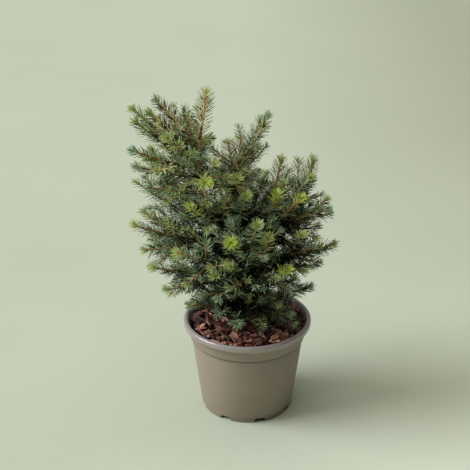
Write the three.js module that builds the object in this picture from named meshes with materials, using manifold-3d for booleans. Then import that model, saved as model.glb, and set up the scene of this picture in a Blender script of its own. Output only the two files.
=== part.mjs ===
// A young dwarf Serbian spruce in a nursery pot, topped with bark mulch.
// Millimetres, +Z up, origin at the centre of the pot's underside. -Y is the front, +X the right.
import * as THREE from "three";
import { mergeVertices } from "three/addons/utils/BufferGeometryUtils.js";
import Module from "manifold-3d";

const wasm = await Module();
wasm.setup();

// Pot: a tapered moulded container with a rolled lip, a collar and a notched foot
const POT_HEIGHT = 144;
const POT_LIP_RADIUS = 95;
const POT_LIP_HEIGHT = 9;
const POT_LIP_INSET = 5.5;
const POT_COLLAR_RADIUS = 86;
const POT_COLLAR_DEPTH = 30;
const POT_COLLAR_STEP = 2;
const POT_FOOT_RADIUS = 68.5;
const POT_FOOT_HEIGHT = 8;
const POT_FOOT_STEP = 1.2;
const POT_WALL = 1.8;
const POT_FLOOR = 3;
const POT_SIDES = 40;
const NOTCHES = 8;
const NOTCH_WIDTH = 20;
const NOTCH_HEIGHT = 6;
const NOTCH_DEPTH = 9;
const NOTCH_FIRST_ANGLE = -74;

// Filling: the root ball's substrate and the bark chips over it
const GAP = 0.3;
const SOIL_TOP = 128;
const MULCH_TOP = 135;
const MULCH_SIDES = 32;
const MULCH_COLLAR = 2.6;
const CHIPS = 26;
const CHIP_LENGTH = [14, 34];
const CHIP_WIDTH = [6, 12];
const CHIP_THICKNESS = 4.5;
const CHIP_TILT = 16;
const CHIP_FIELD = [24, 78];
const GOLDEN_ANGLE = 137.5;

// Trunk: a short leaning stem that rises from the substrate to the top whorl
const TRUNK_FOOT = new THREE.Vector3(0, 0, SOIL_TOP + GAP);
const TRUNK_BELLY = new THREE.Vector3(-80, 0, 322);
const TRUNK_TIP = new THREE.Vector3(-68, -12, 431);
const TRUNK_RADIUS = [8.5, 2];
const ROOT_FLARE = 4;
const ROOT_FLARE_SHARE = 0.05;
const TRUNK_SIDES = 10;

// Boughs: woody limbs that leave the trunk at a share of its length, start flatter and turn up
const BOUGH_RADIUS = [4.4, 2.2];
const BOUGH_TIP = 0.6;
const BOUGH_BEND = 14;
const BOUGH_SIDES = 6;
const BOUGHS = [
  { name: "second_leader", at: 0.3, azimuth: 17, rise: 80, length: 151 },
  { name: "right", at: 0.21, azimuth: -6, rise: 61, length: 114 },
  { name: "right_back", at: 0.26, azimuth: 23, rise: 26, length: 109 },
  { name: "right_low", at: 0.15, azimuth: 1, rise: 37, length: 96 },
  { name: "front_right", at: 0.17, azimuth: -43, rise: 32, length: 74 },
  { name: "front", at: 0.3, azimuth: -55, rise: 27, length: 57 },
  { name: "left", at: 0.42, azimuth: -167, rise: -5, length: 25 },
  { name: "left_low", at: 0.16, azimuth: -152, rise: 45, length: 54 },
  { name: "back_left", at: 0.35, azimuth: 123, rise: 26, length: 44 },
  { name: "back", at: 0.22, azimuth: 68, rise: 36, length: 58 },
];

// Masses: each is one leafy stem on a bough or the trunk, with side shoots by the seeded rule. The roll
// turns the first side shoot about the stem.
const SEED = 7919;
const SHOOT_BEND = 6;
const NEEDLES_PAST_TIP = 7;
const SIDE_SPAN = [0.1, 0.62];
const SIDE_TURN = [36, 52];
const SIDE_REACH = [0.68, 0.86];
const SIDE_LIFT = 0.12;
const SIDE_TRIES = [1, 0.75];
const SIDE_ROOM = 13;
const SIDE_FREE_SHARE = 0.4;
const SKIRT_HEIGHT = 152;
const MASSES = [
  { name: "leader", on: "trunk", at: 1, azimuth: 64, rise: 71, length: 71, sides: 0 },
  { name: "upper_left_high", on: "trunk", at: 0.97, azimuth: 145, rise: 34, length: 93, sides: 0 },
  { name: "upper_left_mid", on: "trunk", at: 0.94, azimuth: 158, rise: 29, length: 90, sides: 2, roll: 20 },
  { name: "far_left", on: "trunk", at: 0.88, azimuth: 167, rise: 34, length: 119, sides: 2, roll: 200 },
  { name: "upper_left_low", on: "trunk", at: 0.83, azimuth: 176, rise: 35, length: 113, sides: 3, roll: 50 },
  { name: "upper_front_left", on: "trunk", at: 0.86, azimuth: -120, rise: 37, length: 105, sides: 1, roll: 160 },
  { name: "left_high", on: "trunk", at: 0.81, azimuth: -167, rise: 20, length: 104, sides: 3, roll: 210 },
  { name: "left_shelf", on: "trunk", at: 0.75, azimuth: 173, rise: 8, length: 96, sides: 3, roll: 60 },
  { name: "left_mid", on: "trunk", at: 0.7, azimuth: -169, rise: 2, length: 77, sides: 4, roll: 10 },
  { name: "upper_front", on: "trunk", at: 0.78, azimuth: -83, rise: 14, length: 94, sides: 4 },
  { name: "upper_back", on: "trunk", at: 0.93, azimuth: 106, rise: 17, length: 86, sides: 3, roll: 220 },
  { name: "left", on: "left", at: 1, azimuth: -162, rise: 22, length: 102, sides: 4, roll: 40 },
  { name: "left_fork", on: "left", at: 0.7, azimuth: -142, rise: 7, length: 101, sides: 4 },
  { name: "left_low", on: "left_low", at: 1, azimuth: -160, rise: 15, length: 92, sides: 5, roll: 30 },
  { name: "left_skirt", on: "left_low", at: 0.65, azimuth: -159, rise: 0, length: 79, sides: 4, roll: 130 },
  { name: "skirt_left", on: "trunk", at: 0.11, azimuth: -145, rise: 12, length: 86, sides: 4 },
  { name: "skirt_front", on: "trunk", at: 0.1, azimuth: -91, rise: 5, length: 79, sides: 4 },
  { name: "skirt_right", on: "trunk", at: 0.1, azimuth: -33, rise: 5, length: 95, sides: 5 },
  { name: "skirt_far_right", on: "trunk", at: 0.1, azimuth: 0, rise: 14, length: 115, sides: 4, roll: 80 },
  { name: "right_low", on: "right_low", at: 1, azimuth: 0, rise: 16, length: 78, sides: 5, roll: 190 },
  { name: "right_mid", on: "right", at: 0.9, azimuth: 5, rise: 14, length: 101, sides: 3, roll: 80 },
  { name: "right_front", on: "right_low", at: 0.7, azimuth: -64, rise: 47, length: 135, sides: 6 },
  { name: "front_right_low", on: "front_right", at: 1, azimuth: -60, rise: 33, length: 84, sides: 6 },
  { name: "front_right", on: "front_right", at: 0.6, azimuth: -73, rise: 55, length: 140, sides: 6 },
  { name: "front_right_high", on: "right", at: 0.8, azimuth: -46, rise: 46, length: 118, sides: 3, roll: 40 },
  { name: "front", on: "front", at: 0.8, azimuth: -96, rise: 40, length: 105, sides: 5, roll: 90 },
  { name: "front_mid", on: "front_right", at: 0.95, azimuth: -130, rise: 34, length: 88, sides: 5 },
  { name: "front_low", on: "front_right", at: 0.4, azimuth: -117, rise: 33, length: 112, sides: 5, roll: 90 },
  { name: "front_high", on: "front", at: 1, azimuth: -70, rise: 50, length: 110, sides: 4 },
  { name: "front_left", on: "second_leader", at: 0.35, azimuth: -130, rise: 36, length: 114, sides: 4, roll: 40 },
  { name: "front_left_low", on: "front", at: 0.5, azimuth: -134, rise: 26, length: 121, sides: 5 },
  { name: "front_top", on: "second_leader", at: 0.3, azimuth: -72, rise: 51, length: 120, sides: 5 },
  { name: "crown_right", on: "second_leader", at: 1, azimuth: 0, rise: 60, length: 89, sides: 1 },
  { name: "crown_back", on: "second_leader", at: 0.82, azimuth: 125, rise: 65, length: 64, sides: 4, roll: 240 },
  { name: "crown_front", on: "second_leader", at: 0.7, azimuth: -91, rise: 41, length: 78, sides: 4 },
  { name: "right_top", on: "right", at: 0.8, azimuth: 28, rise: 73, length: 118, sides: 4, roll: 30 },
  { name: "right_shoulder", on: "right", at: 1, azimuth: -20, rise: 49, length: 105, sides: 4 },
  { name: "right_shoulder_front", on: "right", at: 0.6, azimuth: -62, rise: 59, length: 132, sides: 4 },
  { name: "right_back_top", on: "right_back", at: 1, azimuth: 1, rise: 70, length: 120, sides: 5, roll: 110 },
  { name: "right_back_low", on: "right_back", at: 0.7, azimuth: 35, rise: 22, length: 122, sides: 5 },
  { name: "back_left_high", on: "back_left", at: 1, azimuth: 140, rise: 45, length: 145, sides: 5 },
  { name: "back_left", on: "back_left", at: 0.7, azimuth: 153, rise: 10, length: 111, sides: 5 },
  { name: "back_high", on: "second_leader", at: 0.65, azimuth: 87, rise: 35, length: 111, sides: 5 },
  { name: "back", on: "back", at: 1, azimuth: 105, rise: 40, length: 125, sides: 5 },
  { name: "back_right", on: "back", at: 0.7, azimuth: 58, rise: 50, length: 135, sides: 5 },
  { name: "back_skirt", on: "trunk", at: 0.11, azimuth: 86, rise: 16, length: 96, sides: 5 },
];

// Leafy shoots: a slim three-sided stem whose every facet can carry one broad needle
const STEM_RADIUS = [1.9, 1.1];
const SIDE_STEM = 0.8;
const STEM_SIDES = 3;
const NEEDLE_STEP = 18;
const NEEDLE_START = 0.16;
const NEEDLE_LENGTH = 20;
const NEEDLE_LEAN = [54, 34];
const NEEDLE_TRIES = [1, 0.72, 0.5];
const BUD_LENGTH = 9;
const CLEAR = 0.6;
const AXIS_POINTS = 7;

const PAINT = {
  pot: { color: 0x857c6a, roughness: 0.55, metalness: 0 },
  soil: { color: 0x2a1d15, roughness: 1, metalness: 0 },
  chips: { color: 0x7a4630, roughness: 0.9, metalness: 0 },
  bark: { color: 0x6b4a33, roughness: 0.9, metalness: 0 },
  needles: { color: 0x3c5c46, roughness: 0.6, metalness: 0 },
};

const spruce = new THREE.Group();
const UP = new THREE.Vector3(0, 0, 1);
const FRONT = new THREE.Vector3(0, -1, 0);

// Helpers: numbers, directions and curves

function seeded(seed) {
  let state = seed;
  return () => {
    state = (state * 16807) % 2147483647;
    return state / 2147483647;
  };
}

function between([low, high], share) {
  return low + (high - low) * share;
}

function heading(azimuth, rise) {
  const a = THREE.MathUtils.degToRad(azimuth);
  const r = THREE.MathUtils.degToRad(rise);
  return new THREE.Vector3(Math.cos(a) * Math.cos(r), Math.sin(a) * Math.cos(r), Math.sin(r));
}

function along(start, direction, length) {
  return start.clone().addScaledVector(direction, length);
}

// A limb that starts `bend` degrees flatter than the line to its tip.
function bentCurve(start, { azimuth, rise, length }, bend) {
  const control = along(start, heading(azimuth, rise - bend), length / 2);
  return new THREE.QuadraticBezierCurve3(start, control, along(start, heading(azimuth, rise), length));
}

// Helpers: closed meshes and solids

function geometryOf(points, faces) {
  const geometry = new THREE.BufferGeometry();
  geometry.setAttribute("position", new THREE.Float32BufferAttribute(points.flatMap((p) => p.toArray()), 3));
  geometry.setIndex(faces.flat());
  return geometry;
}

function solidOf(geometry) {
  const bare = geometry.clone();
  bare.deleteAttribute("normal");
  bare.deleteAttribute("uv");
  const merged = mergeVertices(bare, 1e-4);
  return new wasm.Manifold(
    new wasm.Mesh({
      numProp: 3,
      vertProperties: merged.attributes.position.array,
      triVerts: new Uint32Array(merged.index.array),
    }),
  );
}

function largestBody(solid) {
  return solid.decompose().reduce((best, body) => (body.volume() > best.volume() ? body : best));
}

function addNode(name, solid, paint) {
  const mesh = solid.getMesh();
  const geometry = new THREE.BufferGeometry();
  geometry.setAttribute("position", new THREE.BufferAttribute(mesh.vertProperties, 3));
  geometry.setIndex(new THREE.BufferAttribute(mesh.triVerts, 1));
  geometry.computeVertexNormals();
  const node = new THREE.Mesh(geometry, new THREE.MeshStandardMaterial(paint));
  node.name = name;
  spruce.add(node);
}

// A ring of points round a curve at one of its stations, turned by `twist` radians.
function ringOn(curve, frames, stations, index, radius, sides, twist) {
  const centre = curve.getPoint(index / stations);
  return Array.from({ length: sides }, (_, side) => {
    const angle = (2 * Math.PI * side) / sides + twist;
    return centre
      .clone()
      .addScaledVector(frames.normals[index], radius * Math.cos(angle))
      .addScaledVector(frames.binormals[index], radius * Math.sin(angle));
  });
}

// A closed tapering tube with flat ends.
function limbGeometry(curve, radiusAt, sides, stations) {
  const frames = curve.computeFrenetFrames(stations);
  const points = [];
  const faces = [];
  for (let i = 0; i <= stations; i++)
    points.push(...ringOn(curve, frames, stations, i, radiusAt(i / stations), sides, 0));
  for (let i = 0; i < stations; i++)
    for (let k = 0; k < sides; k++) {
      const [a, b] = [i * sides + k, i * sides + ((k + 1) % sides)];
      faces.push([a, b, b + sides], [a, b + sides, a + sides]);
    }
  const last = stations * sides;
  for (let k = 1; k < sides - 1; k++) faces.push([0, k + 1, k], [last, last + k, last + k + 1]);
  return geometryOf(points, faces);
}

// Pot and filling

function revolved(profile, sides) {
  const points = profile.map(([radius, height]) => new THREE.Vector2(radius, height));
  return solidOf(new THREE.LatheGeometry(points, sides).rotateX(Math.PI / 2));
}

const COLLAR_FOOT = POT_HEIGHT - POT_COLLAR_DEPTH;
const WALL_TOP_RADIUS = POT_COLLAR_RADIUS - POT_COLLAR_STEP - 1;

// The pot's inner wall radius at a height, `inset` clear of it.
function potBore(height, inset) {
  const share = (height - POT_FLOOR) / (COLLAR_FOOT - POT_FLOOR);
  return between([POT_FOOT_RADIUS - POT_FOOT_STEP, WALL_TOP_RADIUS], share) - POT_WALL - inset;
}

function notchCutter(index) {
  const outline = new THREE.Shape();
  const top = NOTCH_WIDTH * 0.34;
  outline.moveTo(-NOTCH_WIDTH / 2, -1);
  outline.lineTo(NOTCH_WIDTH / 2, -1);
  outline.lineTo(top, NOTCH_HEIGHT);
  outline.lineTo(-top, NOTCH_HEIGHT);
  const cutter = new THREE.ExtrudeGeometry(outline, { depth: NOTCH_DEPTH * 2, bevelEnabled: false });
  cutter.rotateX(Math.PI / 2).translate(0, NOTCH_DEPTH - POT_FOOT_RADIUS, 0);
  return solidOf(cutter.rotateZ(THREE.MathUtils.degToRad(NOTCH_FIRST_ANGLE + 90 + (360 / NOTCHES) * index)));
}

function makePot() {
  const foot = POT_FOOT_RADIUS - POT_FOOT_STEP;
  const lipFoot = POT_HEIGHT - POT_LIP_HEIGHT;
  const mouth = POT_LIP_RADIUS - POT_LIP_INSET;
  const outside = [
    [0, 0],
    [foot - 1.5, 0],
    [foot, 1.5],
    [foot + 0.3, POT_FOOT_HEIGHT - 1],
    [POT_FOOT_RADIUS, POT_FOOT_HEIGHT],
    [WALL_TOP_RADIUS, COLLAR_FOOT],
    [POT_COLLAR_RADIUS - 0.8, COLLAR_FOOT + 2],
    [POT_COLLAR_RADIUS, lipFoot],
    [POT_LIP_RADIUS - 1.2, lipFoot + 0.6],
    [POT_LIP_RADIUS, lipFoot + 2.4],
    [POT_LIP_RADIUS - 0.4, POT_HEIGHT - 2.4],
    [POT_LIP_RADIUS - 2.2, POT_HEIGHT - 0.3],
    [mouth + 1, POT_HEIGHT],
  ];
  const inside = [
    [mouth - 0.6, POT_HEIGHT - 1.6],
    [POT_COLLAR_RADIUS - POT_WALL, lipFoot],
    [potBore(COLLAR_FOOT, 0), COLLAR_FOOT],
    [potBore(POT_FLOOR, 0), POT_FLOOR + NOTCH_HEIGHT],
    [0, POT_FLOOR + NOTCH_HEIGHT],
  ];
  let pot = revolved([...outside, ...inside], POT_SIDES);
  for (let i = 0; i < NOTCHES; i++) pot = pot.subtract(notchCutter(i));
  addNode("pot", pot, PAINT.pot);
}

function makeRootBall() {
  const floor = POT_FLOOR + NOTCH_HEIGHT + GAP;
  const profile = [
    [0, floor],
    [potBore(POT_FLOOR, GAP) - 0.5, floor],
    [potBore(COLLAR_FOOT, GAP) - 0.3, COLLAR_FOOT],
    [potBore(COLLAR_FOOT, GAP) - 0.3, SOIL_TOP],
    [0, SOIL_TOP],
  ];
  addNode("root_ball", revolved(profile, MULCH_SIDES), PAINT.soil);
}

// One irregular flat bark chip with five corners.
function chipSolid(random, index) {
  const length = between(CHIP_LENGTH, random() ** 2);
  const width = between(CHIP_WIDTH, random());
  const outline = new THREE.Shape();
  outline.moveTo(-length / 2, -width * 0.3);
  outline.lineTo(length * 0.3, -width / 2);
  outline.lineTo(length / 2, width * (random() - 0.5) * 0.6);
  outline.lineTo(length * 0.2, width / 2);
  outline.lineTo(-length * 0.45, width * 0.4);
  const chip = new THREE.ExtrudeGeometry(outline, { depth: CHIP_THICKNESS, bevelEnabled: false });
  const tilt = THREE.MathUtils.degToRad(CHIP_TILT);
  chip.rotateX(tilt * (2 * random() - 1)).rotateY(tilt * (2 * random() - 1));
  const radius = between(CHIP_FIELD, Math.sqrt((index + 0.5) / CHIPS));
  const angle = THREE.MathUtils.degToRad(GOLDEN_ANGLE * index);
  chip.rotateZ(angle + Math.PI * (0.25 + 0.5 * random()));
  chip.translate(radius * Math.cos(angle), radius * Math.sin(angle), MULCH_TOP - CHIP_THICKNESS * 0.35);
  return solidOf(chip);
}

function makeMulch() {
  const random = seeded(SEED);
  const hole = TRUNK_RADIUS[0] + ROOT_FLARE + MULCH_COLLAR;
  const edge = potBore(COLLAR_FOOT, GAP) + 0.5;
  const bed = [
    [hole, SOIL_TOP + GAP],
    [edge, SOIL_TOP + GAP],
    [edge, MULCH_TOP - 1],
    [hole, MULCH_TOP],
    [hole, SOIL_TOP + GAP],
  ];
  const room = [
    [hole, SOIL_TOP + GAP],
    [edge, SOIL_TOP + GAP],
    [edge, POT_HEIGHT],
    [hole, POT_HEIGHT],
    [hole, SOIL_TOP + GAP],
  ];
  let mulch = revolved(bed, MULCH_SIDES);
  for (let i = 0; i < CHIPS; i++) mulch = mulch.add(chipSolid(random, i));
  addNode("bark_mulch", largestBody(mulch.intersect(revolved(room, MULCH_SIDES))), PAINT.chips);
}

// Trunk and boughs

const limbs = new Map();

function addLimb(name, curve, radiusAt, sides, stations, parent) {
  const grown = solidOf(limbGeometry(curve, (t) => radiusAt(t) + GAP * 1.2, sides, stations));
  let solid = solidOf(limbGeometry(curve, radiusAt, sides, stations));
  if (parent) solid = largestBody(solid.subtract(limbs.get(parent).grown));
  limbs.set(name, { curve, radiusAt, grown });
  return solid;
}

function makeTrunk() {
  const curve = new THREE.QuadraticBezierCurve3(TRUNK_FOOT, TRUNK_BELLY, TRUNK_TIP);
  const radiusAt = (t) => between(TRUNK_RADIUS, t) + ROOT_FLARE * Math.exp(-t / ROOT_FLARE_SHARE);
  const trunk = addLimb("trunk", curve, radiusAt, TRUNK_SIDES, 12, null);
  addNode("trunk", trunk.trimByPlane([0, 0, 1], TRUNK_FOOT.z), PAINT.bark);
}

function makeBough(bough) {
  const curve = bentCurve(limbs.get("trunk").curve.getPoint(bough.at), bough, BOUGH_BEND);
  const radiusAt = (t) => between(BOUGH_RADIUS, t) * (t < 1 ? 1 : BOUGH_TIP);
  addNode(`bough_${bough.name}`, addLimb(bough.name, curve, radiusAt, BOUGH_SIDES, 5, "trunk"), PAINT.bark);
}

// Leafy shoots

function shootOn(mass, curve, scale) {
  return { owner: mass.name, curve, scale, axis: curve.getPoints(AXIS_POINTS - 1) };
}

// A mass's length is its reach, needles and all, so its stem stops short of it.
function mainShoot(mass) {
  const root = limbs.get(mass.on).curve.getPoint(mass.at);
  const stem = { ...mass, length: mass.length - NEEDLES_PAST_TIP };
  return shootOn(mass, bentCurve(root, stem, SHOOT_BEND), 1);
}

// The side shoots of a mass by the seeded rule: each turns off the main stem a golden angle further
// round it than the one before, and one that finds no room for itself is shortened or left out.
function sideShoots(mass, index, shoots) {
  const random = seeded(SEED * (index + 2));
  const main = shoots[index];
  for (let k = 0; k < mass.sides; k++) {
    const share = between(SIDE_SPAN, (k + random()) / mass.sides);
    const turn = between(SIDE_TURN, random());
    const reach = mass.length * (1 - share) * between(SIDE_REACH, random());
    const tangent = main.curve.getTangent(share);
    const level = Math.abs(tangent.z) > 0.95 ? FRONT : UP;
    const hinge = level.clone().projectOnPlane(tangent).normalize();
    hinge.applyAxisAngle(tangent, THREE.MathUtils.degToRad((mass.roll ?? 0) + GOLDEN_ANGLE * k));
    const first = tangent.clone().applyAxisAngle(hinge, THREE.MathUtils.degToRad(turn));
    const last = first.clone().addScaledVector(UP, SIDE_LIFT).normalize();
    const start = main.curve.getPoint(share);
    for (const part of SIDE_TRIES) {
      const curve = new THREE.QuadraticBezierCurve3(
        start,
        along(start, first, (reach * part) / 2),
        along(start, last, reach * part),
      );
      const side = shootOn(mass, curve, SIDE_STEM);
      if (!hasRoom(side, shoots)) continue;
      shoots.push(side);
      break;
    }
  }
}

function hasRoom(side, shoots) {
  const free = side.axis.filter((_, i) => i / (AXIS_POINTS - 1) > SIDE_FREE_SHARE);
  return free.every(
    (point) =>
      point.z > SKIRT_HEIGHT &&
      clearOfLimbs(point, SIDE_ROOM / 2) &&
      shoots.every((other) => distanceTo(other.axis, point) > SIDE_ROOM),
  );
}

const nearest = new THREE.Vector3();
const segment = new THREE.Line3();

function distanceTo(axis, point) {
  let least = Infinity;
  for (let i = 1; i < axis.length; i++) {
    segment.set(axis[i - 1], axis[i]).closestPointToPoint(point, true, nearest);
    least = Math.min(least, nearest.distanceTo(point));
  }
  return least;
}

function clearOfLimbs(point, margin) {
  for (const { radiusAt, axis } of limbs.values())
    for (let i = 1; i < axis.length; i++) {
      const share = segment.set(axis[i - 1], axis[i]).closestPointToPointParameter(point, true);
      segment.at(share, nearest);
      const radius = radiusAt(Math.min(0.98, (i - 1 + share) / (axis.length - 1)));
      if (nearest.distanceTo(point) < radius + margin) return false;
    }
  return true;
}

function clearOfPot(point) {
  return point.z > POT_HEIGHT + CLEAR || Math.hypot(point.x, point.y) > POT_LIP_RADIUS + CLEAR;
}

// A point belongs to a shoot where no other shoot's axis is as near.
function inOwnSpace(point, shoot, shoots) {
  if (!clearOfPot(point) || !clearOfLimbs(point, CLEAR)) return false;
  const own = distanceTo(shoot.axis, point) + CLEAR;
  return shoots.every((other) => other === shoot || distanceTo(other.axis, point) > own);
}

// The tip of the needle on a facet, or null where even a short one would leave the shoot's space.
function needleTip(corners, centre, tangent, lean, shoot, shoots) {
  const foot = corners[0].clone().add(corners[1]).add(corners[2]).divideScalar(3);
  const out = foot.clone().sub(centre).projectOnPlane(tangent).normalize();
  const direction = tangent.clone().multiplyScalar(Math.cos(lean)).addScaledVector(out, Math.sin(lean));
  for (const share of NEEDLE_TRIES) {
    const tip = along(foot, direction, NEEDLE_LENGTH * share);
    const probes = [tip, ...corners.flatMap((c) => [c.clone().lerp(tip, 0.4), c.clone().lerp(tip, 0.75)])];
    if (probes.every((point) => inOwnSpace(point, shoot, shoots))) return tip;
  }
  return null;
}

// A stem of twisted rings, closed by a root cap and a bud, with a needle raised on each free facet.
function shootGeometry(shoot, shoots) {
  const stations = Math.max(3, Math.round(shoot.curve.getLength() / NEEDLE_STEP));
  const frames = shoot.curve.computeFrenetFrames(stations);
  const points = [];
  const faces = [];
  for (let i = 0; i <= stations; i++) {
    const radius = between(STEM_RADIUS, i / stations) * shoot.scale;
    points.push(...ringOn(shoot.curve, frames, stations, i, radius, STEM_SIDES, (i * Math.PI) / STEM_SIDES));
  }
  const raise = (face, station) => {
    const corners = face.map((f) => points[f]);
    const centre = shoot.curve.getPoint((station + 0.5) / stations);
    const lean = THREE.MathUtils.degToRad(between(NEEDLE_LEAN, (station + 0.5) / stations));
    const bare = shoot.scale === 1 && station < NEEDLE_START * stations;
    const tip = bare ? null : needleTip(corners, centre, frames.tangents[station], lean, shoot, shoots);
    if (!tip) return faces.push(face);
    const [a, b, c] = face;
    const apex = points.push(tip) - 1;
    faces.push([a, b, apex], [b, c, apex], [c, a, apex]);
  };
  for (let i = 0; i < stations; i++)
    for (let k = 0; k < STEM_SIDES; k++) {
      const [a, b] = [i * STEM_SIDES + k, i * STEM_SIDES + ((k + 1) % STEM_SIDES)];
      raise([a, b, a + STEM_SIDES], i);
      raise([b, b + STEM_SIDES, a + STEM_SIDES], i);
    }
  const last = stations * STEM_SIDES;
  const bud = points.push(along(shoot.curve.getPoint(1), frames.tangents[stations], BUD_LENGTH)) - 1;
  for (let k = 0; k < STEM_SIDES; k++) faces.push([last + k, last + ((k + 1) % STEM_SIDES), bud]);
  faces.push([0, 2, 1]);
  return geometryOf(points, faces);
}

function makeMass(mass, shoots) {
  const own = shoots.filter((shoot) => shoot.owner === mass.name);
  let solid = solidOf(shootGeometry(own[0], shoots));
  for (const shoot of own.slice(1)) solid = solid.add(solidOf(shootGeometry(shoot, shoots)));
  addNode(`mass_${mass.name}`, largestBody(solid.subtract(limbs.get(mass.on).grown)), PAINT.needles);
}

makePot();
makeRootBall();
makeMulch();
makeTrunk();
BOUGHS.forEach(makeBough);
for (const limb of limbs.values()) limb.axis = limb.curve.getPoints(AXIS_POINTS * 2);
const shoots = MASSES.map(mainShoot);
MASSES.forEach((mass, index) => sideShoots(mass, index, shoots));
MASSES.forEach((mass) => makeMass(mass, shoots));

export default spruce;
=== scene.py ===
# %% [markdown]
# A potted Serbian spruce.
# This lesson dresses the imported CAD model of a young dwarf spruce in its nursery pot. The CAD model is
# loaded first, as a fixed frame in metres: the origin is the centre of the pot's underside, -Y is the
# front and +Z is up. Every piece below is made in that same frame, so nothing has to be fitted later.
# Shapes are sized in millimetres, the stage and the finishes in metres, and angles are in degrees.

# %% Load the frame
import math
from contextlib import contextmanager

import bmesh
import bpy
import numpy as np
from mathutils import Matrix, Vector


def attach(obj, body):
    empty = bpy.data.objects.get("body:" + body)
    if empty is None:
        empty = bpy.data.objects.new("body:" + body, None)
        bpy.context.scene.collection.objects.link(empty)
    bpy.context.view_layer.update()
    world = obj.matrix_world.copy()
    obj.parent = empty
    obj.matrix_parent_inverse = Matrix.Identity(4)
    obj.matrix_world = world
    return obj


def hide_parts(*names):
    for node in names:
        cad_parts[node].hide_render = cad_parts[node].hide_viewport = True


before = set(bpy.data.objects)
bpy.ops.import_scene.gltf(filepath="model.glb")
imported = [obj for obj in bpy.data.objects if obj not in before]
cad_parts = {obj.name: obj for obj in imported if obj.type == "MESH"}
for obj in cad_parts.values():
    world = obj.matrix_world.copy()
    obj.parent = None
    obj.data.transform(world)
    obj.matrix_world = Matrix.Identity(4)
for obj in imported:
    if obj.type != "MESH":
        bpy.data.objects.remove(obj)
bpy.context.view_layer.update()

MM = 0.001
BODY = "root"

# %% [markdown]
# Camera.
# The photograph looks a little down on the plant through a long lens. The place, the tilt and the lens
# were worked out from the pot's rim, which is a circle of known size, so they are set as plain numbers.

# %% Camera
CAMERA_PLACE = (-0.0183, -1.7531, 1.1142)
CAMERA_DOWN = 25.5
CAMERA_LENS = 102.8
CAMERA_SENSOR = 36


def add_object(operator, name, **settings):
    """The object that an operator adds, as the only one that is selected."""
    bpy.ops.object.select_all(action="DESELECT")
    operator(**settings)
    bpy.context.object.name = name
    return bpy.context.object


camera_turn = (math.radians(90 - CAMERA_DOWN), 0, 0)
camera = add_object(bpy.ops.object.camera_add, "Camera", location=CAMERA_PLACE, rotation=camera_turn)
camera.data.lens = CAMERA_LENS
camera.data.sensor_width = CAMERA_SENSOR
bpy.context.scene.camera = camera
print("camera at", CAMERA_PLACE)

# %% [markdown]
# Light.
# One broad soft light comes from the left, so the pot turns from light to dark across its width and
# its shadow falls to the right. A very wide one overhead lights the floor. Area lights would fade
# over so wide a floor, so both are suns, which light it all alike. The world is brighter behind the
# plant than in front, which puts the sheen on the rim. Standard view keeps the colours that are
# picked below.

# %% Colours and nodes
def paint(*picked):
    """A colour picker's red, green and blue as the linear colour that Blender's sockets take."""
    shares = [value / 255 for value in picked]
    return (*(s / 12.92 if s <= 0.04045 else ((s + 0.055) / 1.055) ** 2.4 for s in shares), 1.0)


def set_inputs(node, inputs):
    """Sets a node's inputs: another node's output is linked, and anything else is a plain value."""
    for key, value in inputs.items():
        if isinstance(value, bpy.types.NodeSocket):
            node.id_data.links.new(value, node.inputs[key])
        else:
            node.inputs[key].default_value = value


def add_node(tree, kind, inputs=None, **settings):
    node = tree.nodes.new(f"ShaderNode{kind}")
    for name, value in settings.items():
        setattr(node, name, value)
    set_inputs(node, inputs or {})
    return node


def axes(vector):
    return add_node(vector.id_data, "SeparateXYZ", {"Vector": vector}).outputs


def add_range(value, limits=(0, 1), to=(0, 1)):
    """Spreads a value's own limits over others."""
    ends = {"From Min": limits[0], "From Max": limits[1], "To Min": to[0], "To Max": to[1]}
    return add_node(value.id_data, "MapRange", {"Value": value, **ends}).outputs["Result"]


# %% Light
# Each sun: the azimuth and height that it shines from, how wide it looks, its strength and its colour.
SUNS = {
    "key_light": (185, 34, 38, 2.75, paint(249, 250, 255)),
    "top_light": (190, 79, 70, 1.35, paint(255, 250, 238)),
}
# The room's strength on either side and in front, and straight behind the plant.
ROOM_STRENGTH = (0.04, 0.5)
ROOM_COLOUR = paint(226, 222, 214)

for name, (azimuth, height, width, strength, colour) in SUNS.items():
    turn = (0, math.radians(90 - height), math.radians(azimuth))
    sun = add_object(bpy.ops.object.light_add, name, type="SUN", rotation=turn)
    sun.data.angle = math.radians(width)
    sun.data.energy = strength
    sun.data.color = colour[:3]
world = bpy.data.worlds.new("soft_room")
world.use_nodes = True
room = world.node_tree
room_way = add_node(room, "TexCoord").outputs["Generated"]
room_light = add_range(axes(room_way)["Y"], to=ROOM_STRENGTH)
set_inputs(room.nodes["Background"], {"Color": ROOM_COLOUR, "Strength": room_light})
bpy.context.scene.world = world
bpy.context.scene.view_settings.view_transform = "Standard"
print("suns:", list(SUNS))

# %% [markdown]
# Shared finishes.
# Plastic, bark, soil and chips all have two things in common: their colour wanders softly between two
# tones, and their surface has a fine relief. The nodes for that could be copied into each material,
# but then a change would have to be made in each. So each effect is a node group that is built once,
# with its own inputs, and placed in every material that needs it.

# %% Shared effects
MIX_A, MIX_B, MIX_RESULT = 6, 7, 2
MOTTLE_DETAIL = 5
MOTTLE_LIMITS = (0.34, 0.66)
GRAIN_DETAIL = 4
PLATES_SHARE = 0.6


def add_blend(share, first, second):
    """Mixes two colours, each of which is linked or plain."""
    colours = {"Factor": share, MIX_A: first, MIX_B: second}
    return add_node(share.id_data, "Mix", colours, data_type="RGBA").outputs[MIX_RESULT]


def add_math(operation, first, *others):
    values = dict(enumerate((first, *others)))
    return add_node(first.id_data, "Math", values, operation=operation).outputs["Value"]


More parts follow.
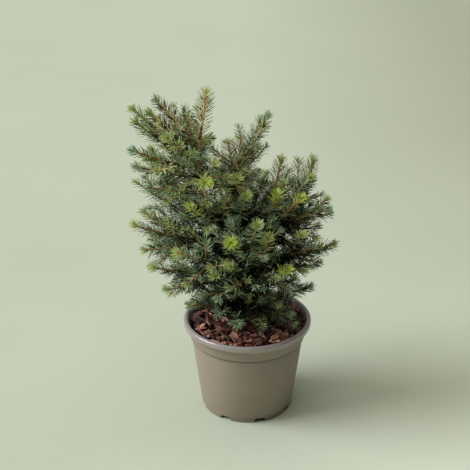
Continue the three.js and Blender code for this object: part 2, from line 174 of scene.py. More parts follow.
def new_group(name, inputs, outputs):
    """An empty node group, the sockets that it is given, and the node that takes what it makes."""
    group = bpy.data.node_groups.new(name, "ShaderNodeTree")
    for side, sockets in (("INPUT", inputs), ("OUTPUT", outputs)):
        for label, kind in sockets.items():
            group.interface.new_socket(label, in_out=side, socket_type=f"NodeSocket{kind}")
    return group, group.nodes.new("NodeGroupInput").outputs, group.nodes.new("NodeGroupOutput")


def make_mottle():
    """Two tones that run into each other in soft patches, and the mask of the patches."""
    group, given, made = new_group(
        "mottle",
        {"Vector": "Vector", "Scale": "Float", "First": "Color", "Second": "Color"},
        {"Colour": "Color", "Mask": "Float"},
    )
    patches = {"Vector": given["Vector"], "Scale": given["Scale"], "Detail": MOTTLE_DETAIL}
    noise = add_node(group, "TexNoise", patches)
    mask = add_range(noise.outputs["Fac"], MOTTLE_LIMITS)
    set_inputs(made, {"Colour": add_blend(mask, given["First"], given["Second"]), "Mask": mask})
    return group


def make_relief():
    """Plates with cracks between them and a fine grain on top, as one height."""
    group, given, made = new_group(
        "relief",
        {"Vector": "Vector", "Plates": "Float", "Grain": "Float"},
        {"Height": "Float"},
    )
    cracks = {"Vector": given["Vector"], "Scale": given["Plates"]}
    plates = add_node(group, "TexVoronoi", cracks, feature="DISTANCE_TO_EDGE").outputs["Distance"]
    fine = {"Vector": given["Vector"], "Scale": given["Grain"], "Detail": GRAIN_DETAIL}
    grain = add_node(group, "TexNoise", fine).outputs["Fac"]
    set_inputs(made, {"Height": add_math("MULTIPLY_ADD", plates, PLATES_SHARE, grain)})
    return group


MOTTLE = make_mottle()
RELIEF = make_relief()
print("node groups:", MOTTLE.name, RELIEF.name)


# %% Shared finishes
def start_material(name, roughness, specular):
    """A new material and its main shader."""
    material = bpy.data.materials.new(name)
    material.use_nodes = True
    shader = material.node_tree.nodes["Principled BSDF"]
    set_inputs(shader, {"Roughness": roughness, "Specular IOR Level": specular})
    return material, shader


def object_place(shader):
    """Object coordinates, which stay put on a piece."""
    return add_node(shader.id_data, "TexCoord").outputs["Object"]


def add_mottle(place, scale, first, second):
    inputs = {"Vector": place, "Scale": scale, "First": first, "Second": second}
    return add_node(place.id_data, "Group", inputs, node_tree=MOTTLE).outputs


def add_relief(shader, place, plates, grain, depth):
    inputs = {"Vector": place, "Plates": plates, "Grain": grain}
    height = add_node(place.id_data, "Group", inputs, node_tree=RELIEF).outputs["Height"]
    bump = add_node(place.id_data, "Bump", {"Height": height, "Distance": depth})
    set_inputs(shader, {"Normal": bump.outputs["Normal"]})


def mottled_material(name, gloss, mottle, relief):
    """A material of two tones with a relief: roughness and specular, then what each effect is given."""
    material, shader = start_material(name, *gloss)
    place = object_place(shader)
    set_inputs(shader, {"Base Color": add_mottle(place, *mottle)["Colour"]})
    add_relief(shader, place, *relief)
    return material


# %% [markdown]
# Floor.
# The plant stands on a pale sage surface that runs back out of sight. The camera looks down on it, so
# it needs no curved backdrop, and a single large plane does, with the faintest mottling so that it
# isn't dead flat. It is lighter towards the front right and dimmer far back on the right. It isn't
# part of the object.

# %% Floor
FLOOR_SIZE = 60
FLOOR_GLOSS = (0.9, 0.05)
FLOOR_MOTTLE = (3, paint(196, 206, 185), paint(200, 209, 189))
# Painted light: the floor's colour lightens towards the front right, where the crown's soft shadow
# falls.
FLOOR_PAINTED_LIGHT = paint(212, 221, 201)
FLOOR_PAINTED_LIGHT_WAY = (0.5, -0.85, 0)
FLOOR_PAINTED_LIGHT_OVER = (0, 0.3)
# Painted shade: the floor's colour dims far back on the right.
FLOOR_PAINTED_SHADE = paint(174, 180, 159)
FLOOR_PAINTED_SHADE_RIGHT = (0, 0.6)
FLOOR_PAINTED_SHADE_BACK = (0, 1.1)

floor_material, floor_shader = start_material("sage_floor", *FLOOR_GLOSS)
floor_place = object_place(floor_shader)
floor_mottle = add_mottle(floor_place, *FLOOR_MOTTLE)
# The painted light rises along a slant towards the front right, and the painted shade towards the back
# right.
slant = {0: floor_place, 1: FLOOR_PAINTED_LIGHT_WAY}
floor_slant = add_node(floor_shader.id_data, "VectorMath", slant, operation="DOT_PRODUCT")
floor_painted_light_mask = add_range(floor_slant.outputs["Value"], FLOOR_PAINTED_LIGHT_OVER)
floor_with_painted_light = add_blend(floor_painted_light_mask, floor_mottle["Colour"], FLOOR_PAINTED_LIGHT)
floor_axes = axes(floor_place)
painted_shade_right = add_range(floor_axes["X"], FLOOR_PAINTED_SHADE_RIGHT)
painted_shade_back = add_range(floor_axes["Y"], FLOOR_PAINTED_SHADE_BACK)
floor_painted_shade_mask = add_math("MULTIPLY", painted_shade_right, painted_shade_back)
set_inputs(floor_shader, {"Base Color": add_blend(floor_painted_shade_mask, floor_with_painted_light, FLOOR_PAINTED_SHADE)})

floor = add_object(bpy.ops.mesh.primitive_plane_add, "floor", size=FLOOR_SIZE)
floor.data.materials.append(floor_material)
print("floor:", FLOOR_SIZE, "m")

# %% [markdown]
# Pot.
# A nursery pot is moulded in one piece: a thin tapered wall with a stepped foot, a straight collar
# and a thick rolled lip. It could be spun from a profile. Here a circle is extruded ring by ring, up
# the outside, over the lip and down the inside, which leaves no seam. A script can't click on an
# edge, so the rings at the edges are selected by their place, and bevelled to the round corners that
# a mould leaves.

# %% Edit mode
RING_GAP = 0.05
TOP_GAP = 0.1
WELD_GAP = 0.01


@contextmanager
def edit_edges():
    """Edit mode of the active mesh, with edges to select, for as long as a with block lasts."""
    bpy.ops.object.mode_set(mode="EDIT")
    bpy.ops.mesh.select_mode(type="EDGE")
    yield
    bpy.ops.object.mode_set(mode="OBJECT")


def select_edges(test):
    """In edit mode, selects only the edges whose two ends pass the test together."""
    mesh = bmesh.from_edit_mesh(bpy.context.object.data)
    for face in mesh.faces:
        face.select = False
    for edge in mesh.edges:
        edge.select = test(*(corner.co for corner in edge.verts))
    for corner in mesh.verts:
        corner.select = any(edge.select for edge in corner.link_edges)
    mesh.select_flush_mode()
    bmesh.update_edit_mesh(bpy.context.object.data)


def select_where(test):
    """In edit mode, selects only the edges whose two ends each pass the test."""
    select_edges(lambda first, last: test(first) and test(last))


def on_ring(radius, height):
    def test(place):
        near = abs(math.hypot(place.x, place.y) - radius * MM) < RING_GAP * MM
        return near and abs(place.z - height * MM) < RING_GAP * MM

    return test


def at_top(height):
    return lambda place: place.z > (height - TOP_GAP) * MM


def weld():
    """In edit mode, merges the corners that coincide and turns all faces outwards."""
    bpy.ops.mesh.select_all(action="SELECT")
    bpy.ops.mesh.remove_doubles(threshold=WELD_GAP * MM)
    bpy.ops.mesh.normals_make_consistent(inside=False)


# %% Pot shell
POT_SEGMENTS = 128
# Each ring is the radius and the height that the next extrusion goes to.
POT_RINGS = [
    (67.3, 0), (67.6, 7), (68.9, 8), (82.8, 112.4), (82.2, 114), (85.4, 116), (86, 135), (95, 135),
    (95, 144), (88.9, 144), (84.2, 135), (80.6, 114), (65.5, 9),
]
# The rings that get a round edge: radius, height, size of the round and its steps.
POT_ROUNDS = [
    (67.3, 0, 1.5, 3), (68.9, 8, 0.4, 2), (82.2, 114, 0.4, 2), (85.4, 116, 0.8, 3), (86, 135, 1.2, 3),
    (95, 135, 1.6, 4), (95, 144, 3.6, 7), (88.9, 144, 1.8, 5), (84.2, 135, 2, 3),
]
UNDERSIDE_RADIUS = 50


def extrude_rings(rings):
    """Carries the selected ring through the given radii and heights."""
    for (radius, height), (next_radius, next_height) in zip(rings, rings[1:]):
        rise = (0, 0, (next_height - height) * MM)
        widen = next_radius / radius
        bpy.ops.mesh.extrude_region_move(TRANSFORM_OT_translate={"value": rise})
        bpy.ops.transform.resize(value=(widen, widen, 1), center_override=(0, 0, 0))


first_radius, _ = POT_RINGS[0]
pot = add_object(
    bpy.ops.mesh.primitive_circle_add, "pot_shell", vertices=POT_SEGMENTS, radius=first_radius * MM,
)
with edit_edges():
    bpy.ops.mesh.select_all(action="SELECT")
    extrude_rings(POT_RINGS)
    bpy.ops.mesh.edge_face_add()
    select_where(on_ring(*POT_RINGS[0]))
    extrude_rings([POT_RINGS[0], (UNDERSIDE_RADIUS, 0)])
    bpy.ops.mesh.edge_face_add()
    for ring_radius, ring_height, round_size, round_steps in POT_ROUNDS:
        select_where(on_ring(ring_radius, ring_height))
        bpy.ops.mesh.bevel(offset=round_size * MM, segments=round_steps, affect="EDGES")
    weld()
print("pot shell:", len(pot.data.polygons), "faces")

# %% [markdown]
# Drain notches.
# Around the foot the mould leaves eight low openings through which water runs off. Deleting faces
# would leave the wall open at the cuts, and a Boolean modifier closes them. So each notch is cut from
# the finished shell, with a block whose top is pulled in.

# %% Drain notches
NOTCHES = 8
NOTCH_FIRST_ANGLE = -74
NOTCH_WIDTH = 20
NOTCH_HEIGHT = 6
NOTCH_BELOW = 1
NOTCH_DEPTH = 18
NOTCH_TOP_SHARE = 0.68
FOOT_RADIUS = 68.5
POT_SMOOTH = 32


def cut_notch(angle):
    centre = (FOOT_RADIUS * MM, 0, (NOTCH_HEIGHT - NOTCH_BELOW) / 2 * MM)
    cutter = add_object(bpy.ops.mesh.primitive_cube_add, "cutter", size=1, location=centre)
    cutter.scale = (NOTCH_DEPTH * MM, NOTCH_WIDTH * MM, (NOTCH_HEIGHT + NOTCH_BELOW) * MM)
    bpy.ops.object.transform_apply(location=True, rotation=True, scale=True)
    with edit_edges():
        select_where(at_top(NOTCH_HEIGHT))
        bpy.ops.transform.resize(value=(1, NOTCH_TOP_SHARE, 1), center_override=(0, 0, 0))
    cutter.rotation_euler.z = math.radians(angle)
    cut = pot.modifiers.new("notch", "BOOLEAN")
    cut.operation = "DIFFERENCE"
    cut.solver = "EXACT"
    cut.object = cutter
    bpy.context.view_layer.objects.active = pot
    bpy.ops.object.modifier_apply(modifier=cut.name)
    bpy.data.objects.remove(cutter)


for notch in range(NOTCHES):
    cut_notch(NOTCH_FIRST_ANGLE + 360 / NOTCHES * notch)
bpy.ops.object.select_all(action="DESELECT")
pot.select_set(True)
bpy.ops.object.shade_smooth_by_angle(angle=math.radians(POT_SMOOTH))
print("pot with notches:", len(pot.data.polygons), "faces")

# %% [markdown]
# Taupe plastic.
# The pot is recycled plastic, mixed through in a warm grey. It is nearly matt, with a soft cloudiness
# and fine dark specks. The rim is painted paler, as a painted sheen on the lip, and polished, as under
# a thin coat. The groove under the collar has a darker band of painted shade, and the foot is darker
# towards the bottom. All three could be painted on an image. Here they are found by height, from
# Object coordinates, which need no unwrapping and stay put on the piece.

# %% Taupe plastic
POT_ROUGHNESS, RIM_ROUGHNESS = 0.52, 0.2
POT_SPECULAR = 0.5
POT_CLOUD = (26, paint(151, 138, 123), paint(158, 145, 130))
POT_SPECKS = (700, paint(147, 134, 119), paint(160, 147, 132))
SPECK_SHARE = (0.25, 0.6)
# Painted sheen: the rim is painted paler and lavender-grey for the sheen on its lip. Its gloss and coat
# are real.
RIM_PAINTED_SHEEN = paint(159, 151, 149)
RIM_START = (0.1345, 0.137)
RIM_COAT = 0.7
RIM_COAT_ROUGHNESS = 0.14
# The foot is darker towards the bottom.
FOOT_TONE = paint(128, 116, 96)
FOOT_START = (0.012, 0)
FOOT_SHARE = 0.35
# Painted shade: a darker band in the groove under the collar, where the collar's overhang shades the
# wall.
GROOVE_PAINTED_SHADE = paint(122, 111, 96)
GROOVE_START = (0.1105, 0.1135)
GROOVE_END = (0.1148, 0.1156)
POT_RELIEF = (160, 1400, 0.00012)

pot_material, pot_shader = start_material("taupe_plastic", POT_ROUGHNESS, POT_SPECULAR)
pot_place = object_place(pot_shader)
pot_height = axes(pot_place)["Z"]
pot_cloud = add_mottle(pot_place, *POT_CLOUD)
pot_specks = add_mottle(pot_place, *POT_SPECKS)
speck_mask = add_range(pot_specks["Mask"], to=SPECK_SHARE)
pot_wall = add_blend(speck_mask, pot_cloud["Colour"], pot_specks["Colour"])
rim_mask = add_range(pot_height, RIM_START)
pot_with_painted_sheen = add_blend(rim_mask, pot_wall, RIM_PAINTED_SHEEN)
foot_mask = add_range(pot_height, FOOT_START, (0, FOOT_SHARE))
pot_footed = add_blend(foot_mask, pot_with_painted_sheen, FOOT_TONE)
groove_end = add_range(pot_height, GROOVE_END, (1, 0))
groove_painted_shade_mask = add_math("MULTIPLY", add_range(pot_height, GROOVE_START), groove_end)
set_inputs(pot_shader, {
    "Base Color": add_blend(groove_painted_shade_mask, pot_footed, GROOVE_PAINTED_SHADE),
    "Roughness": add_range(rim_mask, to=(POT_ROUGHNESS, RIM_ROUGHNESS)),
    "Coat Weight": add_range(rim_mask, to=(0, RIM_COAT)),
    "Coat Roughness": RIM_COAT_ROUGHNESS,
})
add_relief(pot_shader, pot_place, *POT_RELIEF)
pot.data.materials.append(pot_material)
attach(pot, BODY)
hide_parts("pot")
print("pot finished")

# %% [markdown]
# Substrate.
# The root ball is dark peat with coir fibres. The chips hide it, so its CAD solid stays as it is and
# only gets a finish of its own.

# %% Substrate
PEAT = ((0.95, 0.2), (220, paint(34, 24, 18), paint(66, 46, 33)), (240, 900, 0.0012))

root_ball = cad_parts["root_ball"]
root_ball.data.materials.clear()
root_ball.data.materials.append(mottled_material("peat", *PEAT))
print("root ball: peat")

# %% [markdown]
# Mulch bed.
# Under the loose chips lies a layer of crumbled bark that closes the gaps between them. It could be
# sculpted, but little of it shows. So it is a cylinder whose top is subdivided, and a Displace
# modifier makes it lumpy.

# %% Mulch bed
BED_SEGMENTS = 72
BED_RADIUS = 83.4
BED_EDGE = 0.5
BED_BOTTOM = 128.4
BED_TOP = 134.6
BED_CUTS = 5
LUMP_SIZE = 11
LUMP_HEIGHT = 3.5
CRUMBS = ((0.9, 0.25), (190, paint(22, 13, 9), paint(50, 28, 20)), (260, 900, 0.0016))


def displace(piece, texture, size, height, **settings):
    """Roughens the active piece with a Displace modifier."""
    texture.noise_scale = size * MM
    relief = piece.modifiers.new(texture.name, "DISPLACE")
    relief.texture = texture
    relief.strength = height * MM
    for name, value in settings.items():
        setattr(relief, name, value)
    bpy.ops.object.modifier_apply(modifier=relief.name)


bed = add_object(
    bpy.ops.mesh.primitive_cylinder_add,
    "mulch_bed",
    vertices=BED_SEGMENTS,
    radius=BED_RADIUS * MM,
    depth=(BED_TOP - BED_BOTTOM) * MM,
    location=(0, 0, (BED_TOP + BED_BOTTOM) / 2 * MM),
    end_fill_type="TRIFAN",
)
bpy.ops.object.transform_apply(location=True, rotation=True, scale=True)
on_top = at_top(BED_TOP)
with edit_edges():
    select_where(on_top)
    bpy.ops.mesh.subdivide(number_cuts=BED_CUTS)
inner = (BED_RADIUS - BED_EDGE) * MM
raised = [v.index for v in bed.data.vertices if on_top(v.co) and v.co.xy.length < inner]
bed.vertex_groups.new(name="top").add(raised, 1.0, "REPLACE")
lumps = bpy.data.textures.new("crumbs", "CLOUDS")
displace(bed, lumps, LUMP_SIZE, LUMP_HEIGHT, vertex_group="top")
bed.data.materials.append(mottled_material("crumbled_bark", *CRUMBS))
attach(bed, BODY)
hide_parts("bark_mulch")
print("mulch bed:", len(bed.data.polygons), "faces")

# %% [markdown]
# Bark chips.
# Decorative pine bark comes as flat flakes, longer along the grain, with torn ends. Modelling
# hundreds by hand would be slow, and copies of one would look alike. So a few flakes are modelled
# from a cube that is cut along its length, tapered and roughened, and each copy is stretched and
# turned its own way.

# %% Model the flakes
FLAKES = 5
FLAKE_CUTS = 3
FLAKE_END = 0.4
# The two ends of a flake: its side, its width, how that changes from flake to flake, and its thickness.
FLAKE_ENDS = [(1, 0.45, 0.09, 0.6), (-1, 0.8, -0.1, 0.7)]
FLAKE_ROUGHNESS = 0.05
FLAKE_EVENNESS = 0.1


def model_flake(index):
    """One flake, a unit long, as its corners and its faces."""
    flake = add_object(bpy.ops.mesh.primitive_cube_add, "flake", size=1)
    with edit_edges():
        select_edges(lambda first, last: abs(first.x - last.x) > FLAKE_END)
        bpy.ops.mesh.subdivide(number_cuts=FLAKE_CUTS)
        for side, width, change, thickness in FLAKE_ENDS:
            select_where(lambda place: place.x * side > FLAKE_END)
            taper = (1, width + change * index, thickness)
            bpy.ops.transform.resize(value=taper, center_override=(0, 0, 0))
        bpy.ops.mesh.select_all(action="SELECT")
        bpy.ops.transform.vertex_random(offset=FLAKE_ROUGHNESS, uniform=FLAKE_EVENNESS, seed=index + 1)
    corners = np.array([v.co for v in flake.data.vertices])
    faces = np.array([tuple(p.vertices) for p in flake.data.polygons])
    bpy.data.objects.remove(flake)
    return corners, faces


flakes = [model_flake(index) for index in range(FLAKES)]
print("flakes:", [len(faces) for _, faces in flakes], "faces")

# %% [markdown]
# Joined meshes from arrays.
# Hundreds of chips and tens of thousands of needles are too many to be objects. Their corners are
# worked out in arrays and handed to one mesh at a time. Every face is given as a row of corner numbers.

# %% Joined meshes
def mesh_piece(name, corners, faces, materials, slots=None, uv=None, smooth=False):
    """A piece from arrays: corners in millimetres, faces as lists of rows that share a corner count."""
    mesh = bpy.data.meshes.new(name)
    loops = [row for rows in faces for row in rows.tolist()]
    mesh.from_pydata((corners * MM).tolist(), [], loops, shade_flat=not smooth)
    if slots is not None:
        mesh.polygons.foreach_set("material_index", slots.astype(np.int32))
    if uv is not None:
        grain = uv[np.concatenate([rows.ravel() for rows in faces])]
        mesh.uv_layers.new(name="grain").data.foreach_set("uv", grain.astype(np.float32).ravel())
    mesh.validate()
    for material in materials:
        mesh.materials.append(material)
    piece = bpy.data.objects.new(name, mesh)
    bpy.context.scene.collection.objects.link(piece)
    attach(piece, BODY)
    print(f"{name}: {len(loops)} faces")
    return piece


def joined(parts):
    """Small meshes as one: its corners, its rows, and the number of each part's first corner."""
    starts = np.cumsum([0] + [len(corners) for corners, _ in parts[:-1]])
    corners = np.concatenate([corners for corners, _ in parts])
    return corners, np.concatenate([rows + start for (_, rows), start in zip(parts, starts)]), starts


def turn_matrix(axis, degrees):
    """The matrix that turns about a unit axis."""
    x, y, z = axis
    cross = np.array([[0, -z, y], [z, 0, -x], [-y, x, 0]])
    angle = math.radians(degrees)
    return np.eye(3) + math.sin(angle) * cross + (1 - math.cos(angle)) * cross @ cross


def between(limits, share):
    return limits[0] + (limits[1] - limits[0]) * share


# %% [markdown]
# Throwing the chips.
# A physics simulation could drop the chips into the pot, but it is slow and hard to steer. They are
# thrown by a seeded rule, which gives the same bed every time, and kept inside the pot's wall. The
# large chips that stand out in front are listed one by one, and so are a few dry straws.

# %% Chips to throw
SEED = 7919
GOLDEN_ANGLE = 137.5
UP = np.array([0.0, 0.0, 1.0])
FRONT = np.array([0.0, -1.0, 0.0])
CHIPS = 400
CHIP_LENGTH = (9, 32)
SHORT_CHIPS = 1.6
CHIP_WIDTH = (2.6, 8)
CHIP_THICKNESS = (1.8, 3.6)
CHIP_TILT = 40
CHIP_FIELD = 82
CHIP_PAST_FIELD = 3
CHIP_LIFT = 1.2
CHIP_LAYERS = 3
CHIP_RISE = 1.7
TRUNK_ROOM = 13
WALL_GAP = 0.4
# The last rings of the pot are its inside, here from the bottom up.
INSIDE_RINGS = 4
INSIDE_RADII, INSIDE_HEIGHTS = np.array(POT_RINGS[-INSIDE_RINGS:][::-1]).T
# The chips that stand out in front: place, length, width, turn and tilt.
LARGE_CHIPS = [
    ((-47.9, -16.4, 140.2), 30, 9, 2, 6),
    ((41, -55, 141.2), 26, 11, 62, -14),
    ((63.5, -30, 140.6), 28, 12, -20, 16),
    ((-62, -36, 139.5), 20, 8, -35, 10),
    ((-71, -6, 139.8), 18, 9, 80, 12),
    ((28, -38, 139.5), 22, 10, 100, -18),
]
LARGE_CHIP_ROLL = 8
# Dry straws among the chips: place, length, turn and tilt.
STRAWS = [
    ((-19, -50, 143.6), 17, 118, 12),
    ((-12, -56, 143.2), 12, 62, -8),
    ((16, -66, 142.8), 15, 40, 10),
    ((22, -60, 143.4), 11, 150, -6),
    ((3, -72, 142.4), 12, 15, 6),
    ((50, -50, 143.6), 14, -35, 8),
    ((-44, -40, 143.2), 12, 24, 6),
    ((-58, -20, 143.4), 13, -60, 10),
]
STRAW_WIDTH = 1.2
print("chips to place by hand:", len(LARGE_CHIPS), "and straws:", len(STRAWS))


# %% Throw the chips
def lay_flake(number, size, turn, tilt, roll, place):
    """A flake where it lies, with no corner inside the pot's wall: its corners, faces and grain."""
    shape, faces = flakes[number]
    own = shape * size
    turned = turn_matrix(UP, turn) @ turn_matrix((0, 1, 0), tilt) @ turn_matrix((1, 0, 0), roll)
    corners = own @ turned.T + place
    free = np.interp(corners[:, 2], INSIDE_HEIGHTS, INSIDE_RADII) - WALL_GAP
    corners[:, :2] *= np.minimum(1, free / np.hypot(corners[:, 0], corners[:, 1]))[:, None]
    return corners, faces, own[:, :2] + own[:, 2:]


def throw_chips():
    """All chips, with the straws as the last of them."""
    draw = np.random.default_rng(SEED)
    thrown = []
    for place, length, width, turn, tilt in LARGE_CHIPS:
        size = (length, width, CHIP_THICKNESS[1])
        thrown.append(lay_flake(draw.integers(FLAKES), size, turn, tilt, LARGE_CHIP_ROLL, place))
    for k in range(CHIPS):
        length = between(CHIP_LENGTH, draw.random() ** SHORT_CHIPS)
        size = (length, between(CHIP_WIDTH, draw.random()), between(CHIP_THICKNESS, draw.random()))
        radius = between((TRUNK_ROOM, CHIP_FIELD), math.sqrt((k + draw.random()) / CHIPS))
        radius = min(radius, CHIP_FIELD + CHIP_PAST_FIELD - length / 2)
        angle = math.radians(GOLDEN_ANGLE * k)
        height = BED_TOP + CHIP_LIFT + CHIP_RISE * (k % CHIP_LAYERS)
        place = (radius * math.cos(angle), radius * math.sin(angle), height)
        turn = draw.random() * 180
        tilt, roll = CHIP_TILT * (2 * draw.random(2) - 1)
        thrown.append(lay_flake(draw.integers(FLAKES), size, turn, tilt, roll, place))
    for place, length, turn, tilt in STRAWS:
        thrown.append(lay_flake(0, (length, STRAW_WIDTH, STRAW_WIDTH), turn, tilt, 0, place))
    return thrown


thrown = throw_chips()
print("chips and straws:", len(thrown))

# %% [markdown]
# Chip colours.
# Torn bark is streaked along its grain, and the chips differ in tone. Object coordinates would carry
# one pattern straight through all of them. So each chip has a UV map along its own grain, which the
# streaks follow, and the chips of one colour are joined.

# %% Join the chips by colour
CHIP_TONES = {
    "chips_russet": (paint(196, 124, 95), paint(95, 46, 32)),
    "chips_umber": (paint(132, 77, 57), paint(46, 21, 15)),
    "chips_cinnamon": (paint(242, 190, 163), paint(152, 89, 65)),
    "chips_dark": (paint(88, 49, 37), paint(27, 12, 9)),
    "chips_straw": (paint(226, 204, 168), paint(184, 154, 118)),
}
STRAW_TONE = len(CHIP_TONES) - 1
CHIP_GLOSS = (0.52, 0.6)
GRAIN_STRETCH = (0.12, 1, 1)
STREAK_SCALE = 0.75
CHIP_RELIEF = (0.5, 1.6, 0.0007)


def chip_finish(name, light, dark):
    """Bark streaked along its grain, with paler and darker bands and a torn surface."""
    material, shader = start_material(name, *CHIP_GLOSS)
    tree = material.node_tree
    grain = add_node(tree, "UVMap", uv_map="grain").outputs["UV"]
    stretched = add_node(tree, "Mapping", {"Vector": grain, "Scale": GRAIN_STRETCH}).outputs["Vector"]
    streaks = add_mottle(stretched, STREAK_SCALE, dark, light)
    set_inputs(shader, {"Base Color": streaks["Colour"]})
    add_relief(shader, stretched, *CHIP_RELIEF)
    return material


deal = np.random.default_rng(SEED + 1).permutation(len(thrown) - len(STRAWS)) % STRAW_TONE
deal = np.append(deal, np.full(len(STRAWS), STRAW_TONE))
for tone, (name, (light, dark)) in enumerate(CHIP_TONES.items()):
    lot = [chip for chip, given in zip(thrown, deal) if given == tone]
    corners, rows, starts = joined([chip[:2] for chip in lot])
    grain = np.concatenate([own + start for (_, _, own), start in zip(lot, starts)])
    chips = mesh_piece(name, corners, [rows], [chip_finish(name, light, dark)], uv=grain)
    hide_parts("bark_mulch")

# %% [markdown]
# The tree's skeleton.
# The crown grows by the same rule as the CAD source: a leaning trunk, boughs that leave it at a share
# of its length, one leafy stem for each mass of foliage, and side shoots that turn off by a golden
# angle and are left out where they find no room. The rule and its sizes are written again here, in
# millimetres, because the visual twigs have to grow where the solids are.

# %% Trunk and boughs as curves
TRUNK_LINE = ((0, 0, 128.3), (-80, 0, 322), (-68, -12, 431))
TRUNK_RADIUS = (8.5, 2)
ROOT_FLARE = 4
ROOT_FLARE_SHARE = 0.05
BOUGH_RADIUS = (4.4, 2.2)
BOUGH_BEND = 14
LIMB_STEPS = 14
LENGTH_STEPS = 40
# Each bough: its name, where it leaves the trunk, its azimuth, its rise and its length.
BOUGHS = [
    ("second_leader", 0.3, 17, 80, 151),
    ("right", 0.21, -6, 61, 114),
    ("right_back", 0.26, 23, 26, 109),
    ("right_low", 0.15, 1, 37, 96),
    ("front_right", 0.17, -43, 32, 74),
    ("front", 0.3, -55, 27, 57),
    ("left", 0.42, -167, -5, 25),
    ("left_low", 0.16, -152, 45, 54),
    ("back_left", 0.35, 123, 26, 44),
    ("back", 0.22, 68, 36, 58),
]


class Bow:
    """The bowed line of a trunk, a bough or a shoot: a quadratic Bezier curve in millimetres."""

    def __init__(self, start, middle, end):
        self.start, self.middle, self.end = (np.array(p, float) for p in (start, middle, end))

    def point(self, share):
        t = np.asarray(share, float)[..., None]
        return (1 - t) ** 2 * self.start + 2 * t * (1 - t) * self.middle + t**2 * self.end

    def tangent(self, share):
        t = np.asarray(share, float)[..., None]
        step = (1 - t) * (self.middle - self.start) + t * (self.end - self.middle)
        return step / np.linalg.norm(step, axis=-1, keepdims=True)

    def points(self, steps):
        return self.point(np.linspace(0, 1, steps + 1))

    def length(self):
        return np.linalg.norm(np.diff(self.points(LENGTH_STEPS), axis=0), axis=1).sum()


def heading(azimuth, rise):
    a, r = math.radians(azimuth), math.radians(rise)
    return np.array([math.cos(a) * math.cos(r), math.sin(a) * math.cos(r), math.sin(r)])


def bent(start, azimuth, rise, length, bend):
    """A line that starts `bend` degrees flatter than the way to its tip."""
    middle = start + heading(azimuth, rise - bend) * length / 2
    return Bow(start, middle, start + heading(azimuth, rise) * length)


def trunk_radius(share):
    return between(TRUNK_RADIUS, share) + ROOT_FLARE * np.exp(-share / ROOT_FLARE_SHARE)


def bough_radius(share):
    return between(BOUGH_RADIUS, share)


trunk_line = Bow(*TRUNK_LINE)
limbs = {"trunk": (trunk_line, trunk_radius)}
for name, at, azimuth, rise, length in BOUGHS:
    limbs[name] = (bent(trunk_line.point(at), azimuth, rise, length, BOUGH_BEND), bough_radius)
limb_axes = [(line.points(LIMB_STEPS), radius) for line, radius in limbs.values()]
print("limbs:", len(limbs))

# %% Masses of foliage
# Each mass: its name, the limb that it grows on, where, its azimuth, rise and length, its side shoots
# and the roll of the first of them.
MASSES = [
    ("leader", "trunk", 1, 64, 71, 71, 0, 0),
    ("upper_left_high", "trunk", 0.97, 145, 34, 93, 0, 0),
    ("upper_left_mid", "trunk", 0.94, 158, 29, 90, 2, 20),
    ("far_left", "trunk", 0.88, 167, 34, 119, 2, 200),
    ("upper_left_low", "trunk", 0.83, 176, 35, 113, 3, 50),
    ("upper_front_left", "trunk", 0.86, -120, 37, 105, 1, 160),
    ("left_high", "trunk", 0.81, -167, 20, 104, 3, 210),
    ("left_shelf", "trunk", 0.75, 173, 8, 96, 3, 60),
    ("left_mid", "trunk", 0.7, -169, 2, 77, 4, 10),
    ("upper_front", "trunk", 0.78, -83, 14, 94, 4, 0),
    ("upper_back", "trunk", 0.93, 106, 17, 86, 3, 220),
    ("left", "left", 1, -162, 22, 102, 4, 40),
    ("left_fork", "left", 0.7, -142, 7, 101, 4, 0),
    ("left_low", "left_low", 1, -160, 15, 92, 5, 30),
    ("left_skirt", "left_low", 0.65, -159, 0, 79, 4, 130),
    ("skirt_left", "trunk", 0.11, -145, 12, 86, 4, 0),
    ("skirt_front", "trunk", 0.1, -91, 5, 79, 4, 0),
    ("skirt_right", "trunk", 0.1, -33, 5, 95, 5, 0),
    ("skirt_far_right", "trunk", 0.1, 0, 14, 115, 4, 80),
    ("right_low", "right_low", 1, 0, 16, 78, 5, 190),
    ("right_mid", "right", 0.9, 5, 14, 101, 3, 80),
    ("right_front", "right_low", 0.7, -64, 47, 135, 6, 0),
    ("front_right_low", "front_right", 1, -60, 33, 84, 6, 0),
    ("front_right", "front_right", 0.6, -73, 55, 140, 6, 0),
    ("front_right_high", "right", 0.8, -46, 46, 118, 3, 40),
    ("front", "front", 0.8, -96, 40, 105, 5, 90),
    ("front_mid", "front_right", 0.95, -130, 34, 88, 5, 0),
    ("front_low", "front_right", 0.4, -117, 33, 112, 5, 90),
    ("front_high", "front", 1, -70, 50, 110, 4, 0),
    ("front_left", "second_leader", 0.35, -130, 36, 114, 4, 40),
    ("front_left_low", "front", 0.5, -134, 26, 121, 5, 0),
    ("front_top", "second_leader", 0.3, -72, 51, 120, 5, 0),
    ("crown_right", "second_leader", 1, 0, 60, 89, 1, 0),
    ("crown_back", "second_leader", 0.82, 125, 65, 64, 4, 240),
    ("crown_front", "second_leader", 0.7, -91, 41, 78, 4, 0),
    ("right_top", "right", 0.8, 28, 73, 118, 4, 30),
    ("right_shoulder", "right", 1, -20, 49, 105, 4, 0),
    ("right_shoulder_front", "right", 0.6, -62, 59, 132, 4, 0),
    ("right_back_top", "right_back", 1, 1, 70, 120, 5, 110),
    ("right_back_low", "right_back", 0.7, 35, 22, 122, 5, 0),
    ("back_left_high", "back_left", 1, 140, 45, 145, 5, 0),
    ("back_left", "back_left", 0.7, 153, 10, 111, 5, 0),
    ("back_high", "second_leader", 0.65, 87, 35, 111, 5, 0),
    ("back", "back", 1, 105, 40, 125, 5, 0),
    ("back_right", "back", 0.7, 58, 50, 135, 5, 0),
    ("back_skirt", "trunk", 0.11, 86, 16, 96, 5, 0),
]
MASS_NODES = [f"mass_{mass[0]}" for mass in MASSES]
